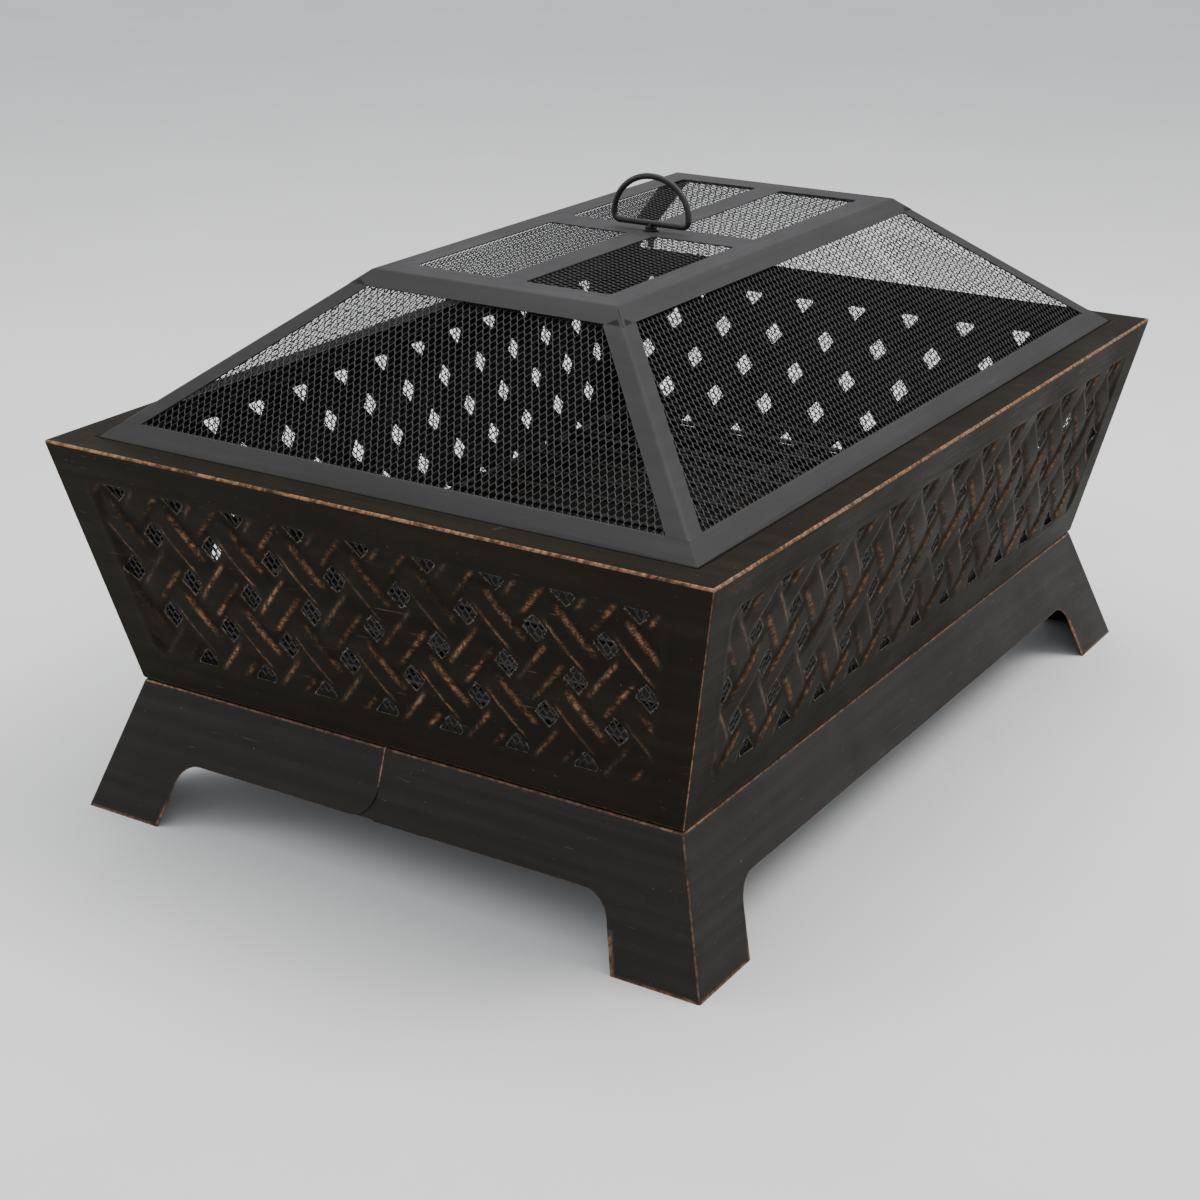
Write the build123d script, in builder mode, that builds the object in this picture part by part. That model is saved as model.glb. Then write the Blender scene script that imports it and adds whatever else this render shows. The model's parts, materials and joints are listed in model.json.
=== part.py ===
from build123d import *
import os
from math import atan2, cos, degrees, hypot, pi, sin

# Rectangular steel fire pit: flared bowl with woven side panels on a four-legged
# skirt, a hipped spark-screen lid that lifts off, and a wire log grate inside.
# Millimetres. +Z up, floor at z = 0, X along the long side, front is -Y.

os.makedirs("parts", exist_ok=True)

# ---- bowl -------------------------------------------------------------------
RIM_L = 889.0
RIM_W = 635.0
RIM_Z = 337.5
BOWL_FLARE = 47.0
BOWL_Z = 117.0
SHEET = 1.0
RIM_FLANGE = 30.0
REBATE_DROP = 6.0
REBATE_LEDGE = 12.0
FLOOR_RETURN = 18.0
PAN_EDGE = 27.0

# ---- woven field in each side panel ------------------------------------------
FIELD_MARGIN = 33.0
FIELD_LOW = 36.0
FIELD_HIGH = 196.0
FIELD_EASE = 2.0
FIELD_RADIUS = 14.0
RECESS = 4.0
PITCH = 62.5
ROW_STEP = 38.6
ROW_MID = 116.0
HOLE_HALF_W = 10.5
HOLE_HALF_H = 11.0
STRAND_W = 20.0
STRAND_L = 56.0
STRAND_RISE = 3.2
MESH = 0.5

# ---- base skirt ---------------------------------------------------------------
FOOT_L = 873.0
FOOT_W = 619.0
BASE_TOP_L = 793.0
BASE_TOP_W = 539.0
BASE_SHEET = 1.2
BASE_RETURN = 24.0
FOOT_WIDTH = 79.0
ARCH_Z = 58.0
ARCH_LEAN = 0.30
ARCH_RADIUS = 26.0
LAP_AT = 9.0
LAP_TAB = 30.0
LAP_HEIGHT = 30.0
LAP_ROUND = 24.0

# ---- lid -----------------------------------------------------------------------
LID_L = 826.0
LID_W = 572.0
LID_Z = 337.5
CAP_L = 500.0
CAP_W = 236.0
CAP_Z = 468.0
FRAME_T = 1.2
RAIL_RISE = 12.0
LID_SEAT_GAP = 0.3
HIP_LEG = 15.0
APRON_Z = 457.5
CAP_T = 1.0
WINDOW_X = (18.0, 222.0)
WINDOW_Y = (13.0, 95.0)

# ---- lifting ring -----------------------------------------------------------------
RING_ROD = 2.75
RING_HALF = 38.25
RING_LOW = 475.5
RING_SHOULDER = 482.5
RING_RISE = 34.75
RING_CORNER = 6.0

# ---- log grate -----------------------------------------------------------------------
BAR_R = 2.5
GRATE_ROD = 3.0
BAR_PITCH = 44.0
BAR_COUNT = 18
BAR_Z = 180.5
GRATE_HALF_L = 389.0
GRATE_HALF_W = 240.0
GRATE_LEG_X = 258.0

# ---- fasteners --------------------------------------------------------------------------
BOLT_R = 3.0
BOLT_HOLE_R = 3.2
BOLT_INSET = 10.0

BOWL_H = RIM_Z - BOWL_Z
TILT = atan2(BOWL_FLARE, BOWL_H)
SLANT = hypot(BOWL_FLARE, BOWL_H)
EDGE_LEAN = BOWL_FLARE / SLANT
BOWL_L = RIM_L - 2 * BOWL_FLARE
BOWL_W = RIM_W - 2 * BOWL_FLARE
LEDGE_Z = RIM_Z - REBATE_DROP
REBATE_HALF = (RIM_L / 2 - RIM_FLANGE, RIM_W / 2 - RIM_FLANGE)


def bowl_half(z, inward):
    """Half length and half width of the bowl's outside at height z, moved in by a sheet thickness."""
    grow = BOWL_FLARE * (z - BOWL_Z) / BOWL_H - inward / cos(TILT)
    return BOWL_L / 2 + grow, BOWL_W / 2 + grow


def base_half(z, inward):
    """The same for the base skirt, which flares towards the floor."""
    share = 1 - z / BOWL_Z
    lean = hypot(1, (FOOT_L - BASE_TOP_L) / 2 / BOWL_Z)
    half_l = BASE_TOP_L / 2 + share * (FOOT_L - BASE_TOP_L) / 2 - inward * lean
    half_w = BASE_TOP_W / 2 + share * (FOOT_W - BASE_TOP_W) / 2 - inward * lean
    return half_l, half_w


def lid_half(z, outward):
    """Half length and half width of the lid's hipped surface at height z, moved out by a thickness."""
    rise = CAP_Z - LID_Z
    run_l = (LID_L - CAP_L) / 2
    run_w = (LID_W - CAP_W) / 2
    half_l = LID_L / 2 - (z - LID_Z) * run_l / rise + outward * hypot(run_l, rise) / rise
    half_w = LID_W / 2 - (z - LID_Z) * run_w / rise + outward * hypot(run_w, rise) / rise
    return half_l, half_w


def frustum(z_low, half_low, z_high, half_high, mode=Mode.ADD):
    """A block whose rectangular section changes evenly from one height to another."""
    with BuildSketch(Plane.XY.offset(z_low)) as low_section:
        Rectangle(2 * half_low[0], 2 * half_low[1])
    with BuildSketch(Plane.XY.offset(z_high)) as high_section:
        Rectangle(2 * half_high[0], 2 * half_high[1])
    loft(sections=[low_section.sketch, high_section.sketch], mode=mode)


def ring(z_low, z_high, outer, inner, mode=Mode.ADD):
    """A flat rectangular frame between two heights."""
    with BuildSketch(Plane.XY.offset(z_low)) as section:
        Rectangle(2 * outer[0], 2 * outer[1])
        Rectangle(2 * inner[0], 2 * inner[1], mode=Mode.SUBTRACT)
    extrude(section.sketch, amount=z_high - z_low, mode=mode)


def keep_plan(points):
    """Keeps only what stands over this plan outline."""
    with BuildSketch(Plane.XY) as outline:
        Polygon(*points, align=None)
    extrude(outline.sketch, amount=700, mode=Mode.INTERSECT)


def plan_wedge(side, corner, run):
    """The share of a rectangular body that belongs to its front or left side, cut at the corners."""
    reach = 0.25
    out = (corner[0] + reach * run[0], corner[1] + reach * run[1])
    steps = corner[1] / run[1]
    tip = corner[0] - steps * run[0]
    if side == "front":
        return [(-out[0], -out[1]), (out[0], -out[1]), (tip, 0), (-tip, 0)]
    return [(-out[0], -out[1]), (-tip, 0), (-out[0], out[1])]


def wall_plane(side):
    """The outside face of a bowl wall: x to the right seen from outside, y up the slope."""
    if side == "front":
        return Plane(
            origin=(0, -BOWL_W / 2, BOWL_Z), x_dir=(1, 0, 0), z_dir=(0, -cos(TILT), -sin(TILT))
        )
    return Plane(origin=(-BOWL_L / 2, 0, BOWL_Z), x_dir=(0, -1, 0), z_dir=(-cos(TILT), 0, -sin(TILT)))


def field_outline(side, inset, mode=Mode.ADD):
    """The rounded outline of the woven field, drawn in the wall's own plane."""
    low = FIELD_LOW - FIELD_EASE + inset
    high = FIELD_HIGH + FIELD_EASE - inset
    foot = (BOWL_L if side == "front" else BOWL_W) / 2 - FIELD_MARGIN - inset
    corners = [
        (-foot - low * EDGE_LEAN, low),
        (foot + low * EDGE_LEAN, low),
        (foot + high * EDGE_LEAN, high),
        (-foot - high * EDGE_LEAN, high),
    ]
    with BuildSketch(Plane.XY, mode=Mode.PRIVATE) as outline:
        Polygon(*corners, align=None)
        fillet(outline.vertices(), radius=FIELD_RADIUS - inset)
    add(outline.sketch, mode=mode)


def row_places(side, row):
    """Centres of the punched holes in one of the five rows, row 0 at the top."""
    reach = 6 if side == "front" else 4
    y = ROW_MID + (2 - row) * ROW_STEP
    if row % 2:
        return [((k + 0.5) * PITCH, y) for k in range(-reach, reach)]
    if row == 4:
        reach = reach - 1
    return [(k * PITCH, y) for k in range(-reach, reach + 1)]


def strand_places(side, odd):
    """Where one set of strands comes to the top, midway between neighbouring holes."""
    reach = 6 if side == "front" else 4
    places = []
    for row in range(5):
        y = ROW_MID + (2 - row) * ROW_STEP
        if row % 2 and odd:
            places += [(k * PITCH, y) for k in range(-reach, reach + 1)]
        if row % 2 == 0 and not odd:
            places += [((k + 0.5) * PITCH, y) for k in range(-reach - 1, reach + 1)]
    return places


def side_panel(side, label):
    """One bowl wall with its rim flange, lid rebate, floor return, woven field and punched holes."""
    face = wall_plane(side)
    lean = degrees(atan2(ROW_STEP, PITCH / 2))
    with BuildPart() as panel:
        frustum(BOWL_Z, bowl_half(BOWL_Z, 0), RIM_Z, bowl_half(RIM_Z, 0))
        frustum(BOWL_Z, bowl_half(BOWL_Z, SHEET), RIM_Z, bowl_half(RIM_Z, SHEET), mode=Mode.SUBTRACT)
        ring(RIM_Z - SHEET, RIM_Z, bowl_half(RIM_Z - SHEET, 0.2), REBATE_HALF)
        ring(
            LEDGE_Z - SHEET,
            RIM_Z,
            (REBATE_HALF[0] + SHEET, REBATE_HALF[1] + SHEET),
            REBATE_HALF,
        )
        ring(
            LEDGE_Z - SHEET,
            LEDGE_Z,
            (REBATE_HALF[0] + SHEET, REBATE_HALF[1] + SHEET),
            (REBATE_HALF[0] - REBATE_LEDGE, REBATE_HALF[1] - REBATE_LEDGE),
        )
        ring(
            BOWL_Z,
            BOWL_Z + SHEET,
            bowl_half(BOWL_Z, 0.2),
            (BOWL_L / 2 - FLOOR_RETURN, BOWL_W / 2 - FLOOR_RETURN),
        )
        keep_plan(plan_wedge(side, (RIM_L / 2, RIM_W / 2), (100, 100)))
        # the stamped field: a shallow tray behind the wall
        with BuildSketch(face.offset(-RECESS - SHEET)):
            field_outline(side, 0)
        extrude(amount=RECESS)
        with BuildSketch(face):
            field_outline(side, SHEET)
        extrude(amount=-RECESS, mode=Mode.SUBTRACT)
        # raised strands of the basket weave
        with BuildSketch(face.offset(-RECESS)):
            with Locations(*strand_places(side, True)):
                Rectangle(STRAND_L, STRAND_W, rotation=-lean)
            with Locations(*strand_places(side, False)):
                Rectangle(STRAND_L, STRAND_W, rotation=lean)
            field_outline(side, SHEET + 2.0, mode=Mode.INTERSECT)
        extrude(amount=STRAND_RISE)
        # the strands are pressed out of the sheet, so they are hollow behind
        with BuildSketch(face.offset(-RECESS - SHEET)):
            with Locations(*strand_places(side, True)):
                Rectangle(STRAND_L - 2 * SHEET, STRAND_W - 2 * SHEET, rotation=-lean)
            with Locations(*strand_places(side, False)):
                Rectangle(STRAND_L - 2 * SHEET, STRAND_W - 2 * SHEET, rotation=lean)
            field_outline(side, 2 * SHEET + 2.0, mode=Mode.INTERSECT)
        extrude(amount=STRAND_RISE, mode=Mode.SUBTRACT)
        # punched holes, cut straight along the field's top and bottom edges
        with BuildSketch(face) as holes:
            for row in range(5):
                with Locations(*row_places(side, row)):
                    Polygon(
                        (-HOLE_HALF_W, 0),
                        (0, -HOLE_HALF_H),
                        (HOLE_HALF_W, 0),
                        (0, HOLE_HALF_H),
                        align=None,
                    )
            with Locations((0, (FIELD_LOW + FIELD_HIGH) / 2)):
                Rectangle(2 * RIM_L, FIELD_HIGH - FIELD_LOW, mode=Mode.INTERSECT)
            fillet(holes.vertices(), radius=1.2)
        extrude(amount=-(RECESS + SHEET + 1), mode=Mode.SUBTRACT)
        # clearance holes for the base bolts
        with Locations(*[(x, y, BOWL_Z) for x, y in BOLT_PLACES]):
            Cylinder(BOLT_HOLE_R, 8, mode=Mode.SUBTRACT)
    panel.part.label = label
    return panel


BOLT_PLACES = [(x, s * (BOWL_W / 2 - BOLT_INSET)) for x in (-330, -110, 110, 330) for s in (-1, 1)]
BOLT_PLACES += [(s * (BOWL_L / 2 - BOLT_INSET), y) for y in (-130, 130) for s in (-1, 1)]


def turned(source, label):
    """The same pressing turned half a turn, for the opposite side."""
    with BuildPart() as piece:
        add(source.part, rotation=(0, 0, 180))
    piece.part.label = label
    return piece


pieces = []

front_side_panel = side_panel("front", "front_side_panel")
left_side_panel = side_panel("left", "left_side_panel")
back_side_panel = turned(front_side_panel, "back_side_panel")
right_side_panel = turned(left_side_panel, "right_side_panel")
pieces += [front_side_panel, left_side_panel, back_side_panel, right_side_panel]

# ---- fire pan: the bowl's floor, edges turned up inside the walls -----------------
PAN_SKIN = SHEET + 0.05
with BuildPart() as fire_pan:
    frustum(
        BOWL_Z + SHEET,
        bowl_half(BOWL_Z + SHEET, PAN_SKIN),
        BOWL_Z + PAN_EDGE,
        bowl_half(BOWL_Z + PAN_EDGE, PAN_SKIN),
    )
    frustum(
        BOWL_Z + 2 * SHEET,
        bowl_half(BOWL_Z + 2 * SHEET, PAN_SKIN + SHEET),
        BOWL_Z + PAN_EDGE,
        bowl_half(BOWL_Z + PAN_EDGE, PAN_SKIN + SHEET),
        mode=Mode.SUBTRACT,
    )
    with Locations(*[(x, y, BOWL_Z) for x, y in BOLT_PLACES]):
        Cylinder(BOLT_HOLE_R, 12, mode=Mode.SUBTRACT)
fire_pan.part.label = "fire_pan"
pieces.append(fire_pan)


# ---- mesh liners: expanded metal behind the punched fields --------------------------
def mesh_liner(side, label):
    with BuildPart() as liner:
        with BuildSketch(wall_plane(side).offset(-RECESS - SHEET - MESH)):
            field_outline(side, 1.0)
        extrude(amount=MESH)
    liner.part.label = label
    return liner


front_mesh_liner = mesh_liner("front", "front_mesh_liner")
left_mesh_liner = mesh_liner("left", "left_mesh_liner")
back_mesh_liner = turned(front_mesh_liner, "back_mesh_liner")
right_mesh_liner = turned(left_mesh_liner, "right_mesh_liner")
pieces += [front_mesh_liner, left_mesh_liner, back_mesh_liner, right_mesh_liner]

# ---- bowl corner brackets: angles spot-welded inside each upright corner ------------------
BRACKET_T = 1.5
BRACKET_LEG = 24.0
BRACKET_LOW = BOWL_Z + 38
BRACKET_HIGH = LEDGE_Z - 12
for side_x, name_x in ((-1, "left"), (1, "right")):
    for side_y, name_y in ((-1, "front"), (1, "back")):
        label = name_y + "_" + name_x + "_corner_bracket"
        with BuildPart() as bracket:
            frustum(
                BRACKET_LOW,
                bowl_half(BRACKET_LOW, SHEET),
                BRACKET_HIGH,
                bowl_half(BRACKET_HIGH, SHEET),
            )
            frustum(
                BRACKET_LOW,
                bowl_half(BRACKET_LOW, SHEET + BRACKET_T),
                BRACKET_HIGH,
                bowl_half(BRACKET_HIGH, SHEET + BRACKET_T),
                mode=Mode.SUBTRACT,
            )
            low = bowl_half(BRACKET_LOW, 0)
            high = bowl_half(BRACKET_HIGH, 0)
            keep_plan(
                [
                    (side_x * (low[0] - BRACKET_LEG), side_y * (low[1] - 4)),
                    (side_x * (low[0] - 4), side_y * (low[1] - BRACKET_LEG)),
                    (side_x * (high[0] + 2), side_y * (high[1] + 2 - BRACKET_LEG)),
                    (side_x * (high[0] + 2), side_y * (high[1] + 2)),
                    (side_x * (high[0] + 2 - BRACKET_LEG), side_y * (high[1] + 2)),
                ]
            )
        bracket.part.label = label
        pieces.append(bracket)

# ---- base skirt: two bent halves lapped in the middle of the short sides ------------------
BASE_LEAN = hypot(1, (FOOT_L - BASE_TOP_L) / 2 / BOWL_Z)
with BuildPart() as front_base_half:
    frustum(0, base_half(0, 0), BOWL_Z, base_half(BOWL_Z, 0))
    frustum(0, base_half(0, BASE_SHEET), BOWL_Z, base_half(BOWL_Z, BASE_SHEET), mode=Mode.SUBTRACT)
    ring(
        BOWL_Z - BASE_SHEET,
        BOWL_Z,
        base_half(BOWL_Z, 0.3),
        (BASE_TOP_L / 2 - BASE_RETURN, BASE_TOP_W / 2 - BASE_RETURN),
    )
    # this half covers the front; its left end stops past the middle, its right end short of it
    keep_plan(
        [
            (-FOOT_L, -FOOT_W),
            (FOOT_L, -FOOT_W),
            (FOOT_L, -LAP_AT),
            (0, -LAP_AT),
            (0, LAP_AT - 0.2),
            (-FOOT_L, LAP_AT - 0.2),
        ]
    )
    # the left end carries a tab that passes behind the other half
    tab_low = ARCH_Z - 6
    tab_high = BOWL_Z - BASE_SHEET - 2
    tab_out = base_half(tab_low, BASE_SHEET)
    tab_in = base_half(tab_low, 2 * BASE_SHEET)
    top_out = base_half(tab_high, BASE_SHEET)
    top_in = base_half(tab_high, 2 * BASE_SHEET)
    with BuildSketch(Plane.XZ.offset(LAP_TAB / 3)):
        Polygon(
            (-tab_out[0], tab_low),
            (-tab_in[0], tab_low),
            (-top_in[0], tab_high),
            (-top_out[0], tab_high),
            align=None,
        )
    extrude(amount=-(LAP_TAB / 3 + LAP_AT + LAP_TAB))
    # the right end laps outside, its lower corner rounded off
    with BuildSketch(Plane.YZ):
        with Locations((-LAP_AT - LAP_ROUND / 2, ARCH_Z + LAP_HEIGHT / 2)):
            Rectangle(LAP_ROUND, LAP_HEIGHT)
        with Locations((-LAP_AT - LAP_ROUND, ARCH_Z + LAP_HEIGHT)):
            Ellipse(LAP_ROUND, LAP_HEIGHT, mode=Mode.SUBTRACT)
    extrude(amount=FOOT_L, mode=Mode.SUBTRACT)
    # the arches between the feet
    with BuildSketch(Plane.XZ) as long_arch:
        foot = FOOT_L / 2 - FOOT_WIDTH
        Polygon(
            (-foot - ARCH_LEAN, -1),
            (foot + ARCH_LEAN, -1),
            (foot - ARCH_LEAN * ARCH_Z, ARCH_Z),
            (-foot + ARCH_LEAN * ARCH_Z, ARCH_Z),
            align=None,
        )
        fillet(long_arch.vertices().sort_by(Axis.Y)[-2:], radius=ARCH_RADIUS)
    extrude(amount=FOOT_W, mode=Mode.SUBTRACT)
    with BuildSketch(Plane.YZ) as short_arch:
        foot = FOOT_W / 2 - FOOT_WIDTH
        Polygon(
            (-foot - ARCH_LEAN, -1),
            (foot + ARCH_LEAN, -1),
            (foot - ARCH_LEAN * ARCH_Z, ARCH_Z),
            (-foot + ARCH_LEAN * ARCH_Z, ARCH_Z),
            align=None,
        )
        fillet(short_arch.vertices().sort_by(Axis.Y)[-2:], radius=ARCH_RADIUS)
    extrude(amount=FOOT_L, both=True, mode=Mode.SUBTRACT)
    with Locations(*[(x, y, BOWL_Z) for x, y in BOLT_PLACES]):
        Cylinder(BOLT_HOLE_R, 12, mode=Mode.SUBTRACT)
front_base_half.part.label = "front_base_half"
back_base_half = turned(front_base_half, "back_base_half")
pieces += [front_base_half, back_base_half]

# ---- bolts and nuts that hold pan, bowl walls and base together ---------------------------
PAN_TOP = BOWL_Z + 2 * SHEET
FLANGE_UNDER = BOWL_Z - BASE_SHEET
with BuildPart() as base_bolts:
    with Locations(*[(x, y, PAN_TOP) for x, y in BOLT_PLACES]):
        Cylinder(5.4, 3.0, align=(Align.CENTER, Align.CENTER, Align.MIN))
    fillet(base_bolts.faces().group_by(Axis.Z)[-1].edges(), radius=1.6)
    with Locations(*[(x, y, PAN_TOP + 1.2) for x, y in BOLT_PLACES]):
        with BuildSketch():
            RegularPolygon(2.3, 6)
    extrude(amount=2.5, mode=Mode.SUBTRACT)
    with Locations(*[(x, y, FLANGE_UNDER - 8) for x, y in BOLT_PLACES]):
        Cylinder(BOLT_R, PAN_TOP - FLANGE_UNDER + 8.2, align=(Align.CENTER, Align.CENTER, Align.MIN))
base_bolts.part.label = "base_bolts"
pieces.append(base_bolts)

with BuildPart() as base_nuts:
    with BuildSketch(Plane.XY.offset(FLANGE_UNDER - 5.0)):
        with Locations(*BOLT_PLACES):
            RegularPolygon(5.7, 6)
            Circle(BOLT_R + 0.02, mode=Mode.SUBTRACT)
    extrude(amount=5.0)
base_nuts.part.label = "base_nuts"
pieces.append(base_nuts)

# ---- lid frame -------------------------------------------------------------------------------
LID_CORNER = (LID_L / 2, LID_W / 2)
LID_RUN = ((LID_L - CAP_L) / 2, (LID_W - CAP_W) / 2)
RAIL_TOP = LID_Z + RAIL_RISE
SEAT_Z = LEDGE_Z + LID_SEAT_GAP


def lid_rail(side, label):
    """A bottom rail: slanted face, upright lip and a flat foot that sits in the rim's rebate."""
    with BuildPart() as rail:
        frustum(LID_Z, lid_half(LID_Z, 0), RAIL_TOP, lid_half(RAIL_TOP, 0))
        frustum(
            LID_Z, lid_half(LID_Z, -FRAME_T), RAIL_TOP, lid_half(RAIL_TOP, -FRAME_T), mode=Mode.SUBTRACT
        )
        ring(SEAT_Z, LID_Z, LID_CORNER, (LID_CORNER[0] - FRAME_T, LID_CORNER[1] - FRAME_T))
        ring(SEAT_Z, SEAT_Z + FRAME_T, LID_CORNER, (LID_CORNER[0] - 12, LID_CORNER[1] - 12))
        keep_plan(plan_wedge(side, LID_CORNER, LID_RUN))
    rail.part.label = label
    return rail


lid_front_rail = lid_rail("front", "lid_front_rail")
lid_left_rail = lid_rail("left", "lid_left_rail")
lid_back_rail = turned(lid_front_rail, "lid_back_rail")
lid_right_rail = turned(lid_left_rail, "lid_right_rail")
pieces += [lid_front_rail, lid_left_rail, lid_back_rail, lid_right_rail]

# hip bars: folded angles that run from the rail corners up under the cap
HIP_TOP = APRON_Z + 5.0
HIP_LENGTH = hypot(LID_RUN[0], LID_RUN[1], CAP_Z - LID_Z)
REACH_X = HIP_LEG * HIP_LENGTH / hypot(LID_RUN[1], CAP_Z - LID_Z)
REACH_Y = HIP_LEG * HIP_LENGTH / hypot(LID_RUN[0], CAP_Z - LID_Z)
for side_x, name_x in ((-1, "left"), (1, "right")):
    for side_y, name_y in ((-1, "front"), (1, "back")):
        with BuildPart() as hip:
            frustum(RAIL_TOP, lid_half(RAIL_TOP, 0), HIP_TOP, lid_half(HIP_TOP, 0))
            frustum(
                RAIL_TOP,
                lid_half(RAIL_TOP, -FRAME_T),
                HIP_TOP,
                lid_half(HIP_TOP, -FRAME_T),
                mode=Mode.SUBTRACT,
            )
            keep_plan(
                [
                    (side_x * LID_CORNER[0], side_y * (LID_CORNER[1] - REACH_Y)),
                    (side_x * LID_CORNER[0], side_y * LID_CORNER[1]),
                    (side_x * (LID_CORNER[0] - REACH_X), side_y * LID_CORNER[1]),
                    (side_x * (CAP_L / 2 - REACH_X), side_y * CAP_W / 2),
                    (side_x * (CAP_L / 2 - REACH_X), side_y * (CAP_W / 2 - REACH_Y)),
                    (side_x * CAP_L / 2, side_y * (CAP_W / 2 - REACH_Y)),
                ]
            )
        hip.part.label = "lid_" + name_y + "_" + name_x + "_hip_bar"
        pieces.append(hip)


def lid_screen(side, label):
    """A sheet of expanded metal, welded behind the rails and hip bars."""
    low = LID_Z + 4.0
    high = APRON_Z + 6.5
    with BuildPart() as screen:
        frustum(low, lid_half(low, -FRAME_T), high, lid_half(high, -FRAME_T))
        frustum(
            low, lid_half(low, -FRAME_T - MESH), high, lid_half(high, -FRAME_T - MESH), mode=Mode.SUBTRACT
        )
        keep_plan(plan_wedge(side, (LID_CORNER[0] - 0.4, LID_CORNER[1] - 0.4), LID_RUN))
        if side == "front":
            keep_plan(plan_wedge(side, (LID_CORNER[0] - 0.8, LID_CORNER[1]), LID_RUN))
        else:
            keep_plan(plan_wedge(side, (LID_CORNER[0], LID_CORNER[1] - 0.8), LID_RUN))
    screen.part.label = label
    return screen


lid_front_screen = lid_screen("front", "lid_front_screen")
lid_left_screen = lid_screen("left", "lid_left_screen")
lid_back_screen = turned(lid_front_screen, "lid_back_screen")
lid_right_screen = turned(lid_left_screen, "lid_right_screen")
pieces += [lid_front_screen, lid_left_screen, lid_back_screen, lid_right_screen]

# cap: pressed plate with four windows and a sloped apron over the hip bars
CAP_TOP = CAP_Z + CAP_T
WINDOW_MID = ((WINDOW_X[0] + WINDOW_X[1]) / 2, (WINDOW_Y[0] + WINDOW_Y[1]) / 2)
with BuildPart() as lid_cap:
    frustum(APRON_Z, lid_half(APRON_Z, CAP_T), CAP_TOP, lid_half(CAP_TOP, CAP_T))
    frustum(APRON_Z, lid_half(APRON_Z, 0), CAP_Z, lid_half(CAP_Z, 0), mode=Mode.SUBTRACT)
    with BuildSketch(Plane.XY.offset(CAP_Z - 1)):
        with Locations(*[(sx * WINDOW_MID[0], sy * WINDOW_MID[1]) for sx in (-1, 1) for sy in (-1, 1)]):
            RectangleRounded(WINDOW_X[1] - WINDOW_X[0], WINDOW_Y[1] - WINDOW_Y[0], 4.0)
    extrude(amount=CAP_T + 2, mode=Mode.SUBTRACT)
    with Locations((0, 0, CAP_Z)):
        Cylinder(BOLT_HOLE_R, 6, mode=Mode.SUBTRACT)
lid_cap.part.label = "lid_cap"
pieces.append(lid_cap)

with BuildPart() as lid_cap_screen:
    with BuildSketch(Plane.XY.offset(CAP_Z - MESH)):
        Rectangle(CAP_L - 30, CAP_W - 22)
        Circle(BOLT_HOLE_R, mode=Mode.SUBTRACT)
    extrude(amount=MESH)
lid_cap_screen.part.label = "lid_cap_screen"
pieces.append(lid_cap_screen)

# ---- lifting ring and its fixing ----------------------------------------------------------------
with BuildPart() as lifting_ring:
    with BuildLine(Plane.YZ) as loop:
        EllipticalCenterArc((0, RING_SHOULDER), RING_HALF, RING_RISE, start_angle=0, arc_size=180)
        Line((-RING_HALF, RING_SHOULDER), (-RING_HALF, RING_LOW + RING_CORNER))
        RadiusArc(
            (-RING_HALF, RING_LOW + RING_CORNER), (-RING_HALF + RING_CORNER, RING_LOW), -RING_CORNER
        )
        Line((-RING_HALF + RING_CORNER, RING_LOW), (RING_HALF - RING_CORNER, RING_LOW))
        RadiusArc((RING_HALF - RING_CORNER, RING_LOW), (RING_HALF, RING_LOW + RING_CORNER), -RING_CORNER)
        Line((RING_HALF, RING_LOW + RING_CORNER), (RING_HALF, RING_SHOULDER))
    with BuildSketch(Plane(origin=loop.wire() @ 0, z_dir=loop.wire() % 0)):
        Circle(RING_ROD)
    sweep()
lifting_ring.part.label = "lifting_ring"
pieces.append(lifting_ring)

with BuildPart() as ring_stud:
    with Locations((0, 0, CAP_Z - 14)):
        Cylinder(BOLT_R, RING_LOW - CAP_Z + 14, align=(Align.CENTER, Align.CENTER, Align.MIN))
    with Locations((0, 0, RING_LOW)):
        Cylinder(RING_ROD + 0.01, 20, rotation=(90, 0, 0), mode=Mode.SUBTRACT)
ring_stud.part.label = "ring_stud"
pieces.append(ring_stud)

with BuildPart() as ring_collar:
    with Locations((0, 0, CAP_TOP)):
        Cylinder(7.0, 1.2, align=(Align.CENTER, Align.CENTER, Align.MIN))
    with BuildSketch(Plane.XY.offset(CAP_TOP + 1.2)):
        RegularPolygon(5.2, 6)
    extrude(amount=2.2)
    with Locations((0, 0, CAP_TOP)):
        Cylinder(BOLT_R + 0.02, 20, mode=Mode.SUBTRACT)
ring_collar.part.label = "ring_collar"
pieces.append(ring_collar)

with BuildPart() as ring_washer:
    with BuildSketch(Plane.XY.offset(CAP_Z - MESH - 1.2)):
        Circle(9.0)
        Circle(BOLT_HOLE_R, mode=Mode.SUBTRACT)
    extrude(amount=1.2)
ring_washer.part.label = "ring_washer"
pieces.append(ring_washer)

with BuildPart() as ring_nut:
    with BuildSketch(Plane.XY.offset(CAP_Z - MESH - 1.2 - 5.0)):
        RegularPolygon(5.7, 6)
        Circle(BOLT_R + 0.02, mode=Mode.SUBTRACT)
    extrude(amount=5.0)
ring_nut.part.label = "ring_nut"
pieces.append(ring_nut)

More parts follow.
